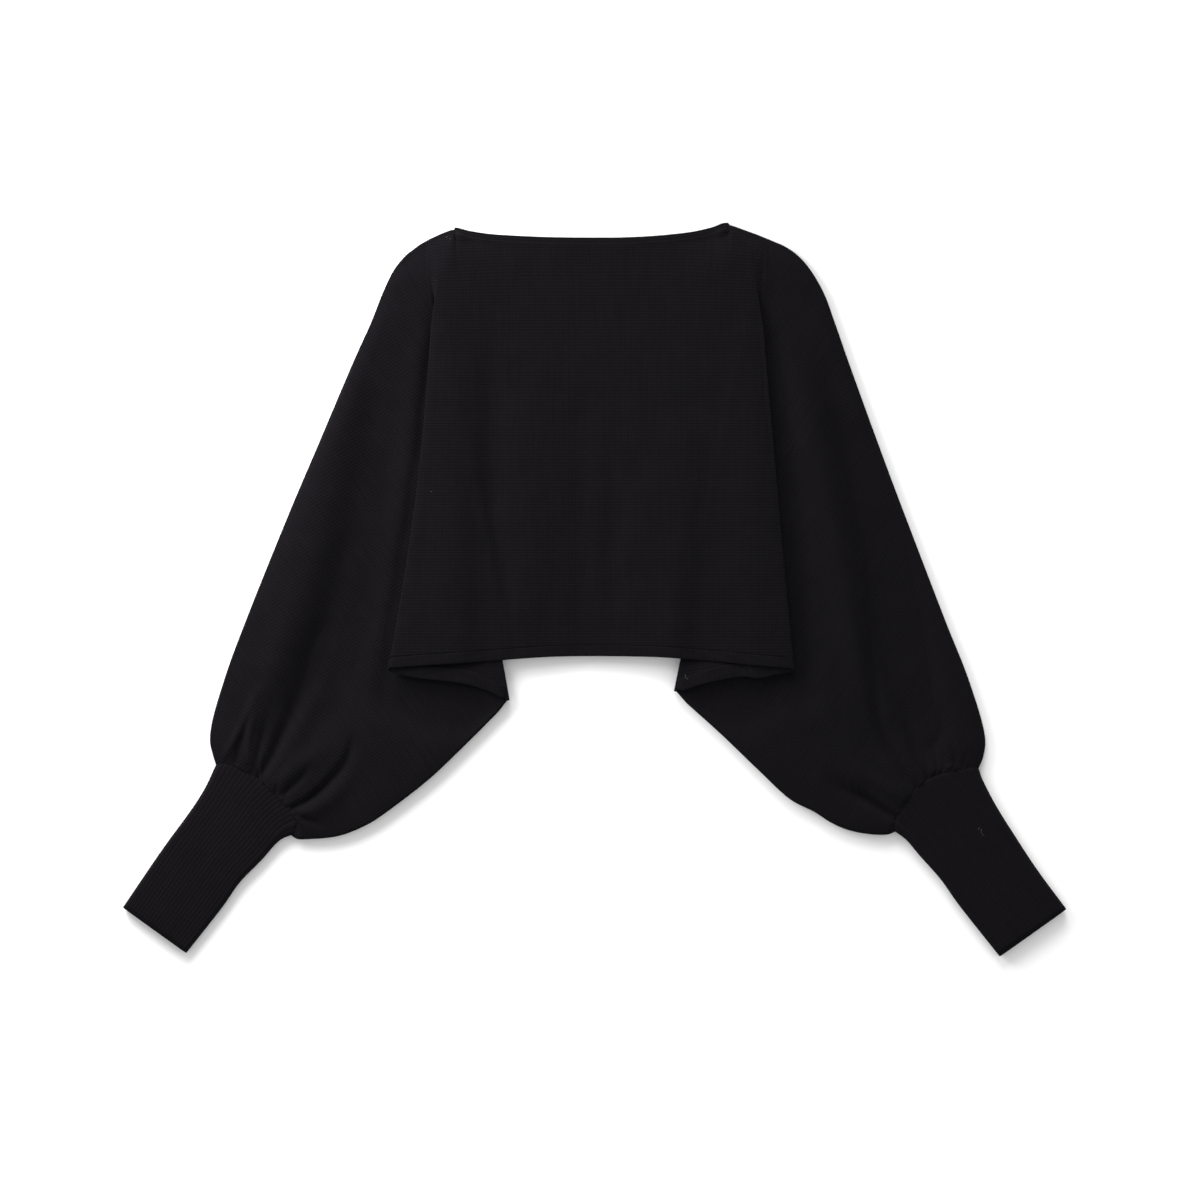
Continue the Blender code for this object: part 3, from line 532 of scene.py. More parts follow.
def lay_pleat(side, is_front):
    """The pleat's part of a panel: an arc at the inner fold, the strip, an arc at the outer.
    Also given: where its columns end on the hem, and how far it is formed in each row.

    An arc turns by half a turn. Its points lie back from the fold by bulge (1 - sin angle)
    and rise by half the gap between two layers x (1 - cos angle). Above the apex there is
    no fold yet but a smooth step from sleeve to body, and one goes over into the other.
    """
    pleat, stack = side.pleat, FRONT_STACK if is_front else BACK_STACK
    lift = np.array([0.0, 0.0 if is_front else BACK_HEM_LIFT])
    inner_top, outer_top, apex, tip = (np.array(point, float) for point in pleat[:4])
    corner = pleat.corner + lift
    strip_corner = np.array(pleat.strip_corner, float) if is_front else corner
    share = np.linspace(0, 1, STRIP_COLUMNS + 2)[1:-1]
    strip_top = mix(inner_top, outer_top, share[:, None])
    strip_knots = np.linspace(0, 1, len(pleat.strip_hem) + 1)
    strip_low = through(strip_knots, (*pleat.strip_hem, pleat.strip_corner), share) + lift

    def down_to(tops, lows, inset):
        tops, lows = np.atleast_2d(tops), np.atleast_2d(lows)
        apexes = np.broadcast_to(apex, tops.shape)
        return lay_lines(tops, apexes, lows, 0.0, inset)

    sleeve, sleeve_down, sleeve_up = down_to(inner_top, tip, 0.0)
    strip, strip_down, strip_up = down_to(strip_top, strip_low, HEM_INSET)
    outer, outer_down, outer_up = down_to(outer_top, strip_corner, HEM_INSET)
    body = down_to(outer_top, corner, HEM_INSET)[0]

    edges = sewn_edge(SHOULDER_SEAM, is_front, FLOOR_LEVEL)
    tip_edges = sewn_edge(TIP_SEAM, is_front, stack[1].sleeve)
    levels = [(stack[0][layer], stack[1][layer]) for layer in range(4)]
    sleeve_z = heights_of(sleeve_down, sleeve_up, *edges, *levels[0], *tip_edges)
    inner_z, outer_z, body_z = (
        heights_of(outer_down, outer_up, *edges, *levels[layer], *[levels[layer][1]] * 2)
        for layer in (1, 2, 3)
    )
    row_share = np.clip((np.arange(ROWS_ABOVE + ROWS_BELOW) - ROWS_ABOVE + 1) / ROWS_BELOW, 0, 1)
    bow = pleat.side * pleat.bow * np.sin(np.pi * row_share)
    inner_half, outer_half = (inner_z - sleeve_z) / 2, (body_z - outer_z) / 2
    inner_bulge, outer_bulge = (
        pleat.side * np.minimum(np.abs(half), WIDEST_BULGE) for half in (inner_half, outer_half)
    )
    turn = np.pi * np.linspace(0, 1, ARC_COLUMNS)[:, None]
    inner_plan = np.repeat(sleeve, ARC_COLUMNS, axis=0)
    inner_plan[..., 0] -= inner_bulge * (1 - np.sin(turn))
    inner_height = sleeve_z + inner_half * (1 - np.cos(turn))
    back_turn = turn[::-1]
    back_share = back_turn[..., None] / np.pi
    outer_plan = mix(body, outer, back_share)
    outer_plan[..., 0] += outer_bulge * (1 - np.sin(back_turn)) + bow
    outer_height = body_z - outer_half * (1 - np.cos(back_turn))
    share = share[:, None]
    strip[..., 0] += mix(-inner_bulge, outer_bulge + bow, share)
    strip_height = mix(inner_height[-1:], outer_height[:1], share)
    plan = np.concatenate([inner_plan, strip, outer_plan])
    height = np.concatenate([inner_height, strip_height, outer_height])

    across = np.linspace(0, 1, len(plan))[:, None]
    step_plan = mix(sleeve, body, across[..., None])
    spread = APEX_SPREAD * np.minimum(1, sleeve_down / SPREAD_DEPTH)
    step_plan[..., 0] += pleat.side * spread * (2 * across - 1)
    step_height = mix(sleeve_z, body_z, ease(across))
    below = sleeve_down - sleeve_down[:, ROWS_ABOVE - 1]
    formed = ease((below + TURN_ABOVE) / TURN_REACH)
    plan = mix(step_plan, plan, formed[..., None])
    height = mix(step_height, height, formed)
    down, up = (
        np.concatenate([at_inner.repeat(ARC_COLUMNS, 0), at_strip, at_outer.repeat(ARC_COLUMNS, 0)])
        for at_inner, at_strip, at_outer in (
            (sleeve_down, strip_down, outer_down), (sleeve_up, strip_up, outer_up)
        )
    )
    outer_hem = mix(corner, strip_corner, back_share[:, 0])
    outer_hem[:, 0] += outer_plan[:, -1, 0] - mix(body, outer, back_share)[:, -1, 0]
    inner_fold = plan[ARC_COLUMNS - 1]
    inner_end = inner_fold[-1] + unit(inner_fold[-1] - inner_fold[-EDGE_STEPS - 1]) * EDGE_INSET
    return (plan, height, down, up), np.vstack([inner_end, strip_low, outer_hem]), formed


def crease_height(plan, creases, layer_weight):
    """The height that creases add: a bell across each path, exp(-(d / width)^2 / 2), times
    the path's own height there and the weight of the crease's layer. To the left of the
    path the width grows towards 1 + lean times itself, and shrinks as much to the right."""
    points = plan.reshape(-1, 2)
    total = np.zeros(len(points))
    for crease in creases:
        path = np.array(crease.path, float)
        steps = np.linalg.norm(np.diff(path[:, :2], axis=0), axis=1)
        knots = np.concatenate([[0], np.cumsum(steps)])
        line = through(knots, path, np.linspace(0, knots[-1], PATH_STEPS))
        reach = CREASE_REACH * path[:, 3].max()
        near = np.all((points > line[:, :2].min(0) - reach) & (points < line[:, :2].max(0) + reach), axis=1)
        near &= layer_weight[crease.layer].reshape(-1) > 0
        start, along = line[:-1, :2], np.diff(line[:, :2], axis=0)
        offset = points[near][:, None] - start
        share = np.clip((offset * along).sum(-1) / (along**2).sum(-1), 0, 1)
        across = offset - share[..., None] * along
        distance = np.linalg.norm(across, axis=-1)
        nearest = distance.argmin(axis=1)
        rows = np.arange(len(nearest))
        share = share[rows, nearest]
        height = mix(line[nearest, 2], line[nearest + 1, 2], share)
        width = mix(line[nearest, 3], line[nearest + 1, 3], share)
        turned = along[nearest, 0] * across[rows, nearest, 1] - along[nearest, 1] * across[rows, nearest, 0]
        distance = distance[rows, nearest]
        lean = 1 + crease.lean * np.tanh(np.sign(turned) * distance / width)
        bell = np.exp(-((distance / (width * lean)) ** 2) / 2)
        total[near] += height * bell * layer_weight[crease.layer].reshape(-1)[near]
    return total.reshape(plan.shape[:2])


def gather_height(plan, columns, seed):
    """Gathers at the wrist: a row of rounded folds, |sin| of half a turn each, of uneven
    width and height round the seam, each dying out up the sleeve at its own rate, the
    fine pleats between them, a cosine round the seam, and the puff of the full cloth."""
    rng = np.random.default_rng(seed)
    sleeve = plan[:columns]
    steps = np.linalg.norm(np.diff(sleeve, axis=0), axis=2)
    away = np.vstack([np.zeros(plan.shape[1]), np.cumsum(steps, axis=0)])
    round_share = np.linalg.norm(sleeve[0] - sleeve[0, 0], axis=1)
    round_share /= round_share[-1]
    ends = np.linspace(0, 1, GATHERS + 1) + rng.uniform(*GATHER_SHIFTS, GATHERS + 1) / GATHERS
    phase = np.interp(round_share, ends, np.arange(GATHERS + 1))
    fold = np.clip(np.floor(phase).astype(int), 0, GATHERS - 1)
    tall = rng.uniform(*GATHER_HEIGHTS, GATHERS)[fold]
    length = GATHER_LENGTH * rng.uniform(*GATHER_LENGTHS, GATHERS)[fold]
    ridge = tall * (np.abs(np.sin(np.pi * phase)) - GATHER_VALLEY)
    arch = np.sin(np.pi * round_share) ** 0.5
    puff = WRIST_PUFF * np.exp(-(((away - WRIST_PUFF_AT) / WRIST_PUFF_REACH) ** 2) / 2)
    seam = mix(GATHER_AT_SEAM, 1, ease(away / GATHER_RISE))
    height = np.zeros(plan.shape[:2])
    height[:columns] = arch * (puff + GATHER_HEIGHT * seam * ridge * np.exp(-away / length))
    fine = np.cos(2 * np.pi * FINE_PLEATS * round_share)
    height[:columns] += FINE_HEIGHT * fine * np.exp(-away / FINE_LENGTH)
    return height


def ripple_height(plan, seed):
    """Slow waves in the cloth: a sum of sines of random heading, length and phase."""
    rng = np.random.default_rng(seed)
    total = np.zeros(plan.shape[:2])
    for _ in range(RIPPLES):
        heading, phase = rng.uniform(0, 2 * np.pi, 2)
        length = rng.uniform(*RIPPLE_LENGTHS)
        wave = plan @ np.array([np.cos(heading), np.sin(heading)]) * 2 * np.pi / length
        total += RIPPLE_HEIGHT * np.sin(wave + phase) * length / RIPPLE_LENGTHS[1]
    return total


def flat_pattern(side, plan, sleeve_columns, body_columns):
    """Where each point lies in the flat cut: the sleeve is turned back up about the apex by
    twice the angle between the folds, and the strip is mirrored in the outer fold. Above
    the apex the turn dies away from sleeve to body by tanh over TURN_COLUMNS."""
    pleat = side.pleat
    apex = np.array(pleat.apex, float)
    inner, outer = (np.array(end) - apex for end in (pleat.tip, pleat.corner))
    angles = [np.arctan2(fold[1], fold[0]) for fold in (inner, outer)]
    swing = 2 * (angles[1] - angles[0])
    column = np.arange(len(plan))
    middle = (sleeve_columns + len(plan) - body_columns) / 2
    above = 0.5 - 0.5 * np.tanh((column - middle) / TURN_COLUMNS)
    below = (column < middle).astype(float)
    row_share = ease((np.arange(plan.shape[1]) - ROWS_ABOVE + TURN_ROWS) / (2 * TURN_ROWS))
    turn = swing * mix(above[:, None], below[:, None], row_share)
    offset = plan - apex
    cos, sin = np.cos(turn), np.sin(turn)
    flat = np.stack([offset[..., 0] * cos - offset[..., 1] * sin,
                     offset[..., 0] * sin + offset[..., 1] * cos], axis=-1)
    strip = slice(sleeve_columns + ARC_COLUMNS // 2, len(plan) - body_columns - ARC_COLUMNS // 2)
    axis = unit(outer)
    mirrored = 2 * (offset[strip] @ axis)[..., None] * axis - offset[strip]
    flat[strip] = mix(flat[strip], mirrored, row_share[None, :, None])
    return flat + apex


def part_layers(plan, height, first, last, formed):
    """Keep sleeve and body LAYER_GAP below and above the strip between them, which takes
    the columns from first to last with its arcs. Past its edges the limits fall away by
    distance^2 / STRIP_BEND, and where the pleat is hardly formed they are out of reach."""
    strip_in = first + ARC_COLUMNS - 1
    strip_out = strip_in + STRIP_COLUMNS + 1
    span = plan[strip_out, :, 0] - plan[strip_in, :, 0]
    share = (plan[..., 0] - plan[strip_in, :, 0]) / span
    strip = mix(height[strip_in], height[strip_out], np.clip(share, 0, 1))
    past_inner, past_outer = (np.maximum(past, 0) * np.abs(span) for past in (-share, share - 1))
    unformed = (1 - ease((formed - WELL_FORMED) / (1 - WELL_FORMED))) * OUT_OF_REACH
    above = strip + LAYER_GAP - past_inner**2 / STRIP_BEND - unformed
    below = strip - LAYER_GAP + past_outer**2 / STRIP_BEND + unformed
    raised = smooth_most(height, above, BODY_SOFTNESS)
    pressed = -smooth_most(-height, -below, SLEEVE_SOFTNESS)
    return np.concatenate([pressed[:first], height[first:last], raised[last:]])


def lay_half(side, is_front, under):
    """One half of a panel, wrist first: its points, its place in the flat cut, and where
    its columns end on the hem and on the neck edge, or no number where they don't. The
    front's sleeve stays LAYER_GAP above the heights of the back under it."""
    sleeve = lay_sleeve(side, is_front)
    pleat, pleat_hem, formed = lay_pleat(side, is_front)
    body, body_top, body_hem, on_neck = lay_body(side, is_front)
    plan, height, down, up = (np.concatenate(parts) for parts in zip(sleeve, pleat, body))
    first = len(sleeve[0])
    last = first + len(pleat[0])
    column = np.arange(len(plan))[:, None]
    on_sleeve = 1 - ease((column - first) / ARC_COLUMNS)
    on_body = ease((column - last + ARC_COLUMNS) / ARC_COLUMNS)
    off_top, off_low = (ease((away - EDGE_INSET) / CREASE_EDGE) for away in (down, up))
    hem_open = ease((column - first - ARC_COLUMNS) / HEM_BLEND)
    neck_open = ease((column - last - NECK_BEGINS) / NECK_BLEND)
    sewn = off_top * off_low
    free = mix(off_top, 1, neck_open) * mix(off_low, 1, hem_open)
    weight = {
        "sleeve": on_sleeve * sewn,
        "body": on_body * free,
        "strip": (1 - on_sleeve) * (1 - on_body) * free,
    }
    height += crease_height(plan, FRONT_CREASES if is_front else BACK_CREASES, weight)
    gathers = gather_height(plan, first, GATHER_SEED + 2 * is_front + (side is RIGHT))
    height += gathers * sewn * (1.0 if is_front else BACK_GATHERS)
    height += ripple_height(plan, RIPPLE_SEED + is_front) * (on_sleeve * sewn + on_body * free)
    height = np.maximum(height, FLOOR_LEVEL)
    corner = last + np.argmax(on_neck) + np.arange(*CORNER_COLUMNS)
    for _ in range(CORNER_ROUNDS):
        beside = (height[corner - 1] + height[corner + 1]) / 2
        height[corner, EDGE_STEPS:] = mix(height[corner], beside, 0.5)[:, EDGE_STEPS:]
    if is_front:
        inside = ease((down - EDGE_INSET) / EDGE_REACH) * ease((up - EDGE_INSET) / EDGE_REACH)
        height[:first] = np.maximum(height, under + LAYER_GAP * inside)[:first]
        height = part_layers(plan, height, first, last, formed)
    points = np.concatenate([plan, height[..., None]], axis=-1)
    flat = flat_pattern(side, plan, first, len(body[0]))
    hem_ends, neck_ends = np.full((2, len(plan), 2), np.nan)
    hem_ends[first + ARC_COLUMNS - 1:] = np.vstack([pleat_hem, body_hem])
    by_neck = on_neck | np.roll(on_neck, -NECK_OVERLAP)
    neck_ends[last:][by_neck] = body_top[by_neck]
    return points, flat, hem_ends, neck_ends


def joined(left, right):
    """Left and right halves as one run of columns; they share the middle one."""
    return np.concatenate([left, right[::-1][1:]])


def indices(points):
    """The index of each point of a grid, in the grid's own form."""
    return np.arange(points[..., 0].size).reshape(points.shape[:-1])


def wrapped(index, axis):
    """A grid of indices with its first line again after its last one, along this axis."""
    return np.concatenate([index, index.take([0], axis)], axis)


def quads_of(index):
    """The corners of the quads between the points of one or more grids of indices."""
    corners = [index[..., :-1, :-1], index[..., :-1, 1:], index[..., 1:, 1:], index[..., 1:, :-1]]
    return np.stack(corners, axis=-1).reshape(-1, 4)


def add_piece(name, points, faces, uv, material, wall):
    """A smooth piece from points in millimetres and quads, with a UV for each corner and,
    where it is an open sheet, a wall built half to each side."""
    mesh = bpy.data.meshes.new(name)
    mesh.from_pydata((points.reshape(-1, 3) * MM).tolist(), [], faces)
    mesh.uv_layers.new(name="knit").data.foreach_set("uv", uv.reshape(-1))
    mesh.materials.append(material)
    mesh.shade_smooth()
    piece = bpy.data.objects.new(name, mesh)
    bpy.context.scene.collection.objects.link(piece)
    if wall:
        shell = piece.modifiers.new("wall", "SOLIDIFY")
        shell.thickness = wall * MM
        shell.offset = 0.0
    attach(piece, "root")
    return piece


def sums(tree, operation, *values):
    """A Math node's result; each value is a number or another node's output."""
    node = tree.nodes.new("ShaderNodeMath")
    node.operation = operation
    for socket, value in zip(node.inputs, values):
        if isinstance(value, bpy.types.NodeSocket):
            tree.links.new(value, socket)
        else:
            socket.default_value = value
    return node.outputs[0]


KNIT_DYE = (0.0042, 0.0036, 0.0046)
KNIT_ROUGHNESS = 0.88
KNIT_SPECULAR = 0.04
FUZZ, FUZZ_ROUGHNESS, FUZZ_COLOUR = 0.10, 0.5, (0.10, 0.09, 0.105, 1)
LEG_DEPTH, LEG_SLANT = 0.42, 1.2
STREAK_PULL = 0.06  # streaks of tone are drawn out along the wale by one over this
# Each noise's scale and detail: fibres and patches to the metre, streaks to the wale
FIBRE_NOISE, PATCH_NOISE, STREAK_NOISE = (900.0, 2.0), (45.0, 3.0), (1.0, 1.0)
# The swing and the rest of the tone of yarns (painted shade in the gaps), courses, streaks, fibres and
# patches
GAP_SHADE_AND_TONES = ((0.44, 0.66), (0.11, 1.0), (0.4, 0.8), (0.6, 0.7), (0.3, 0.85))
FIBRE_RELIEF = 0.5
RELIEF_DEPTH = 0.5
JERSEY_RELIEF, TRIM_RELIEF, RIB_RELIEF = 0.55, 0.5, 0.45


def noise_at(tree, place, scale, detail):
    """A noise's value at a place."""
    noise = tree.nodes.new("ShaderNodeTexNoise")
    noise.inputs["Scale"].default_value = scale
    noise.inputs["Detail"].default_value = detail
    tree.links.new(place, noise.inputs["Vector"])
    return noise.outputs["Fac"]


def knit_cloth(name, dye, relief_strength):
    """Black knit. Each stitch is a pair of yarn legs that lean together: across a wale the
    legs are sin(2 pi s), with s the distance from the wale's edge, and along it they are
    crossed by sin(2 pi (v + LEG_SLANT s)). The dye is scaled by the product of all tones,
    each rest + swing times its pattern: painted shade makes the gaps between the yarn legs
    darker than the yarn tops, and courses, streaks, fibres and patches vary a little."""
    material, shader = plain_shader(name, dye, KNIT_ROUGHNESS)
    tree = material.node_tree
    uv = tree.nodes.new("ShaderNodeUVMap")
    uv.uv_map = "knit"
    split = tree.nodes.new("ShaderNodeSeparateXYZ")
    tree.links.new(uv.outputs[0], split.inputs[0])
    wale, course = split.outputs[0], split.outputs[1]
    from_edge = sums(tree, "PINGPONG", wale, 0.5)
    leg = sums(tree, "SINE", sums(tree, "MULTIPLY", from_edge, 2 * np.pi))
    slanted = sums(tree, "MULTIPLY_ADD", from_edge, LEG_SLANT, course)
    crossing = sums(tree, "SINE", sums(tree, "MULTIPLY", slanted, 2 * np.pi))
    yarn = sums(tree, "MULTIPLY", leg, sums(tree, "MULTIPLY_ADD", crossing, LEG_DEPTH, 1 - LEG_DEPTH))
    courses = sums(tree, "SINE", sums(tree, "MULTIPLY", course, 2 * np.pi))

    place = tree.nodes.new("ShaderNodeTexCoord").outputs["Object"]
    fibres, patches = (noise_at(tree, place, *noise) for noise in (FIBRE_NOISE, PATCH_NOISE))
    along_wale = tree.nodes.new("ShaderNodeCombineXYZ")
    tree.links.new(wale, along_wale.inputs[0])
    tree.links.new(sums(tree, "MULTIPLY", course, STREAK_PULL), along_wale.inputs[1])
    streaks = noise_at(tree, along_wale.outputs[0], *STREAK_NOISE)
    patterns = zip((yarn, courses, streaks, fibres, patches), GAP_SHADE_AND_TONES)
    tones = [sums(tree, "MULTIPLY_ADD", pattern, *swing_rest) for pattern, swing_rest in patterns]
    # the first tone is painted shade: the gaps between the yarn legs are darker than the yarn tops
    tone = tones[0]
    for factor in tones[1:]:
        tone = sums(tree, "MULTIPLY", tone, factor)
    colour = tree.nodes.new("ShaderNodeVectorMath")
    colour.operation = "SCALE"
    colour.inputs[0].default_value = dye
    tree.links.new(tone, colour.inputs["Scale"])
    tree.links.new(colour.outputs[0], shader.inputs["Base Color"])

    raised = tree.nodes.new("ShaderNodeBump")
    raised.inputs["Strength"].default_value = relief_strength
    raised.inputs["Distance"].default_value = RELIEF_DEPTH * MM
    tree.links.new(sums(tree, "MULTIPLY_ADD", fibres, FIBRE_RELIEF, yarn), raised.inputs["Height"])
    tree.links.new(raised.outputs[0], shader.inputs["Normal"])
    shader.inputs["Specular IOR Level"].default_value = KNIT_SPECULAR
    shader.inputs["Sheen Weight"].default_value = FUZZ
    shader.inputs["Sheen Roughness"].default_value = FUZZ_ROUGHNESS
    shader.inputs["Sheen Tint"].default_value = FUZZ_COLOUR
    return material


jersey = knit_cloth("black_jersey", KNIT_DYE, JERSEY_RELIEF)
Panel = namedtuple("Panel", "piece points flat hem_ends neck_ends")


def sew_panel(side_name, is_front, under):
    """A panel with its wall, laid on the panel under it, and what its bands follow."""
    heights = (None, None)
    if under:
        middle = len(under.points) // 2
        heights = (under.points[: middle + 1, :, 2], under.points[middle:, :, 2][::-1])
    halves = [lay_half(side, is_front, below) for side, below in zip((LEFT, RIGHT), heights)]
    points, flat, hem_ends, neck_ends = (joined(*pair) for pair in zip(*halves))
    faces = quads_of(indices(points))
    uv = (flat / (WALE, COURSE)).reshape(-1, 2)[faces.reshape(-1)]
    panel = add_piece(f"{side_name}_jersey", points, faces.tolist(), uv, jersey, WALL)
    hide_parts(f"{side_name}_panel")
    return Panel(panel, points, flat, hem_ends, neck_ends)


back = sew_panel("back", False, None)
front = sew_panel("front", True, back)

# ---------------------------------------------------------------------------------------
# Neckbands. The boat neck is finished all along with a narrow turned edge, 5.5 mm deep and
# two layers thick, held down by a line of tiny looped stitches. Its rim is slightly toothed,
# because each wale of the knit ends there in a loop.

BAND_WIDTH = 6.4
BAND_THICKNESS = 2.3
BAND_STEP = 0.8
BAND_END, BAND_END_SHARE = 5.0, 0.35  # over this much of its ends it thins to this share
RING_POINTS = 24
SQUARENESS = 0.4
FLUSH = 0.12  # a band's face stands this much proud of its panel's
TOOTH_PITCH, TOOTH_DEPTH = 2.3, 0.4
RIM_RISE, RIM_REACH = {"front": -3.6, "back": 2.0}, 32.0
LOOP_FROM_RIM = 4.6
LOOP_PITCH = 2.3
LOOP_LENGTH, LOOP_WIDTH, LOOP_YARN = 1.5, 1.1, 0.2
LOOP_TURNS, LOOP_SIDES = 10, 5
THREAD_BLACK, THREAD_ROUGHNESS, THREAD_SPECULAR = (0.0050, 0.0043, 0.0054), 0.6, 0.1


def frame_along(inner, rim):
    """Unit vectors at each column of a band: along it, across it towards its rim, and out
    of its face, at right angles to both."""
    along = unit(np.gradient((inner + rim) / 2, axis=0))
    across = unit(rim - inner)
    return along, across, unit(np.cross(along, across))


def rolled_band(inner, rim, thickness):
    """A closed band between its inner edge and its rim: a squared oval carried along them,
    across by cos^SQUARENESS of half the width and out by sin^SQUARENESS of half the wall."""
    _, across, out = frame_along(inner, rim)
    angle = np.linspace(0, 2 * np.pi, RING_POINTS, endpoint=False)
    wide, thick = (
        (np.sign(v) * np.abs(v) ** SQUARENESS)[:, None] for v in (np.cos(angle), np.sin(angle))
    )
    half_width = np.linalg.norm(rim - inner, axis=1)[:, None, None] / 2
    middle = ((inner + rim) / 2)[:, None]
    return middle + half_width * wide * across[:, None] + thickness / 2 * thick * out[:, None]


def add_band(name, rings, uv, material):
    """A closed band as a piece, from its rings and the UV of each point, capped at both
    ends and with its faces turned outwards."""
    index = indices(rings)
    quads = quads_of(wrapped(index, 1))
    caps = [index[0], index[-1, ::-1]]
    order = np.concatenate([quads.reshape(-1), *caps])
    faces = quads.tolist() + [cap.tolist() for cap in caps]
    piece = add_piece(name, rings, faces, uv.reshape(-1, 2)[order], material, None)
    shell = bmesh.new()
    shell.from_mesh(piece.data)
    bmesh.ops.recalc_face_normals(shell, faces=shell.faces)
    shell.to_mesh(piece.data)
    shell.free()
    return piece


def even_steps(curves, step):
    """Curves that share their columns, read at even steps of the first one's length."""
    length = np.linalg.norm(np.diff(curves[0], axis=0), axis=1)
    length = np.concatenate([[0], np.cumsum(length)])
    at = np.linspace(0, length[-1], int(round(length[-1] / step)) + 1)
    return at, [through(length, curve, at) for curve in curves]


def thread_rings(name, centre, basis, long, wide, yarn, material):
    """A row of small stitches, one mesh: at each place an oval, long by wide, with a round
    thread of radius yarn carried round it."""
    turn = np.linspace(0, 2 * np.pi, LOOP_TURNS, endpoint=False)[:, None]
    thread_side = np.linspace(0, 2 * np.pi, LOOP_SIDES, endpoint=False)
    x = np.cos(turn) * (long / 2 + yarn * np.cos(thread_side))
    y = np.sin(turn) * (wide / 2 + yarn * np.cos(thread_side))
    z = yarn * np.sin(thread_side) + 0 * x
    points = centre[:, None, None] + np.einsum("abk,nkc->nabc", np.stack([x, y, z], -1), basis)
    quads = quads_of(wrapped(wrapped(indices(points), 1), 2))[:, [0, 3, 2, 1]]
    return add_piece(name, points, quads.tolist(), np.zeros((quads.size, 2)), material, None)


trim_knit = knit_cloth("black_trim", KNIT_DYE, TRIM_RELIEF)
thread, thread_shader = plain_shader("black_thread", THREAD_BLACK, THREAD_ROUGHNESS)
thread_shader.inputs["Specular IOR Level"].default_value = THREAD_SPECULAR


def flush_level(height, thickness, side_name):
    """The middle height of a band whose face carries on its panel's: the front's turned
    layer lies below the panel, the back's lies on the floor."""
    if side_name == "front":
        return height + WALL / 2 + FLUSH - thickness / 2
    return np.maximum(height, thickness / 2)


def sew_neckband(side_name, panel):
    """A neckband beside the panel's neck edge, with its line of stitches. Towards both
    shoulders its rim bends to the seam, and it thins out on them."""
    by_neck = ~np.isnan(panel.neck_ends[:, 0])
    rim, grid = panel.neck_ends[by_neck], panel.points[by_neck]
    sewn = np.linalg.norm(grid[:, 0, :2] - rim, axis=1) < BAND_INSET / 2
    level = np.where(sewn, grid[:, EDGE_STEPS, 2], grid[:, 0, 2])
    level = flush_level(level, BAND_THICKNESS, side_name)
    inner = rim + unit(grid[:, EDGE_STEPS, :2] - rim) * BAND_WIDTH
    edges = [np.column_stack([inner, level]), np.column_stack([rim, level])]
    at, (inner, rim) = even_steps(edges, BAND_STEP)
    from_end = np.minimum(at, at[-1] - at)
    bend = 1 - ease(from_end / RIM_REACH)
    rim[:, 2] += bend * RIM_RISE[side_name]
    thin = mix(BAND_END_SHARE, 1, ease(from_end / BAND_END))
    along, across, out = frame_along(inner, rim)
    tooth = TOOTH_DEPTH * (np.abs(np.sin(np.pi * at / TOOTH_PITCH)) - 1)
    rings = rolled_band(inner, rim + across * tooth[:, None], BAND_THICKNESS * thin[:, None, None])
    stitches_round = np.linspace(0, 2 * (BAND_WIDTH + BAND_THICKNESS) / TOOTH_PITCH, RING_POINTS)
    uv = np.stack(np.broadcast_arrays(at[:, None] / TOOTH_PITCH, stitches_round), axis=-1)
    band = add_band(f"{side_name}_neck_edge", rings, uv, trim_knit)
    places = np.arange(BAND_END, at[-1] - BAND_END, LOOP_PITCH)
    rim, along, across, out = (through(at, curve, places) for curve in (rim, along, across, out))
    stitches = thread_rings(
        f"{side_name}_neck_stitches",
        rim - across * LOOP_FROM_RIM + out * BAND_THICKNESS / 2,
        np.stack([along, across, out], axis=1),
        LOOP_LENGTH, LOOP_WIDTH, LOOP_YARN, thread,
    )
    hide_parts(f"{side_name}_neckband")


sew_neckband("back", back)
sew_neckband("front", front)

# ---------------------------------------------------------------------------------------
# Hem bands. The hem is turned up 11 mm to the inside and stitched, so it is two layers of
# the same jersey with a rounded lower edge. It goes round each pleat with its panel.

HEM_WIDTH = 14.2
HEM_THICKNESS = 2.5
HEM_STITCH_PITCH = 3.1
HEM_STITCH_LENGTH, HEM_STITCH_WIDTH, HEM_STITCH_YARN = 1.9, 0.2, 0.17
HEM_STITCH_FROM_RIM = 10.0
HEM_BELOW = 0.2  # its face lies this much below its panel's
HEM_END = 6.0
HEM_END_ROUND, HEM_END_THIN = 3.5, 0.6  # at its ends it draws in and thins by this much


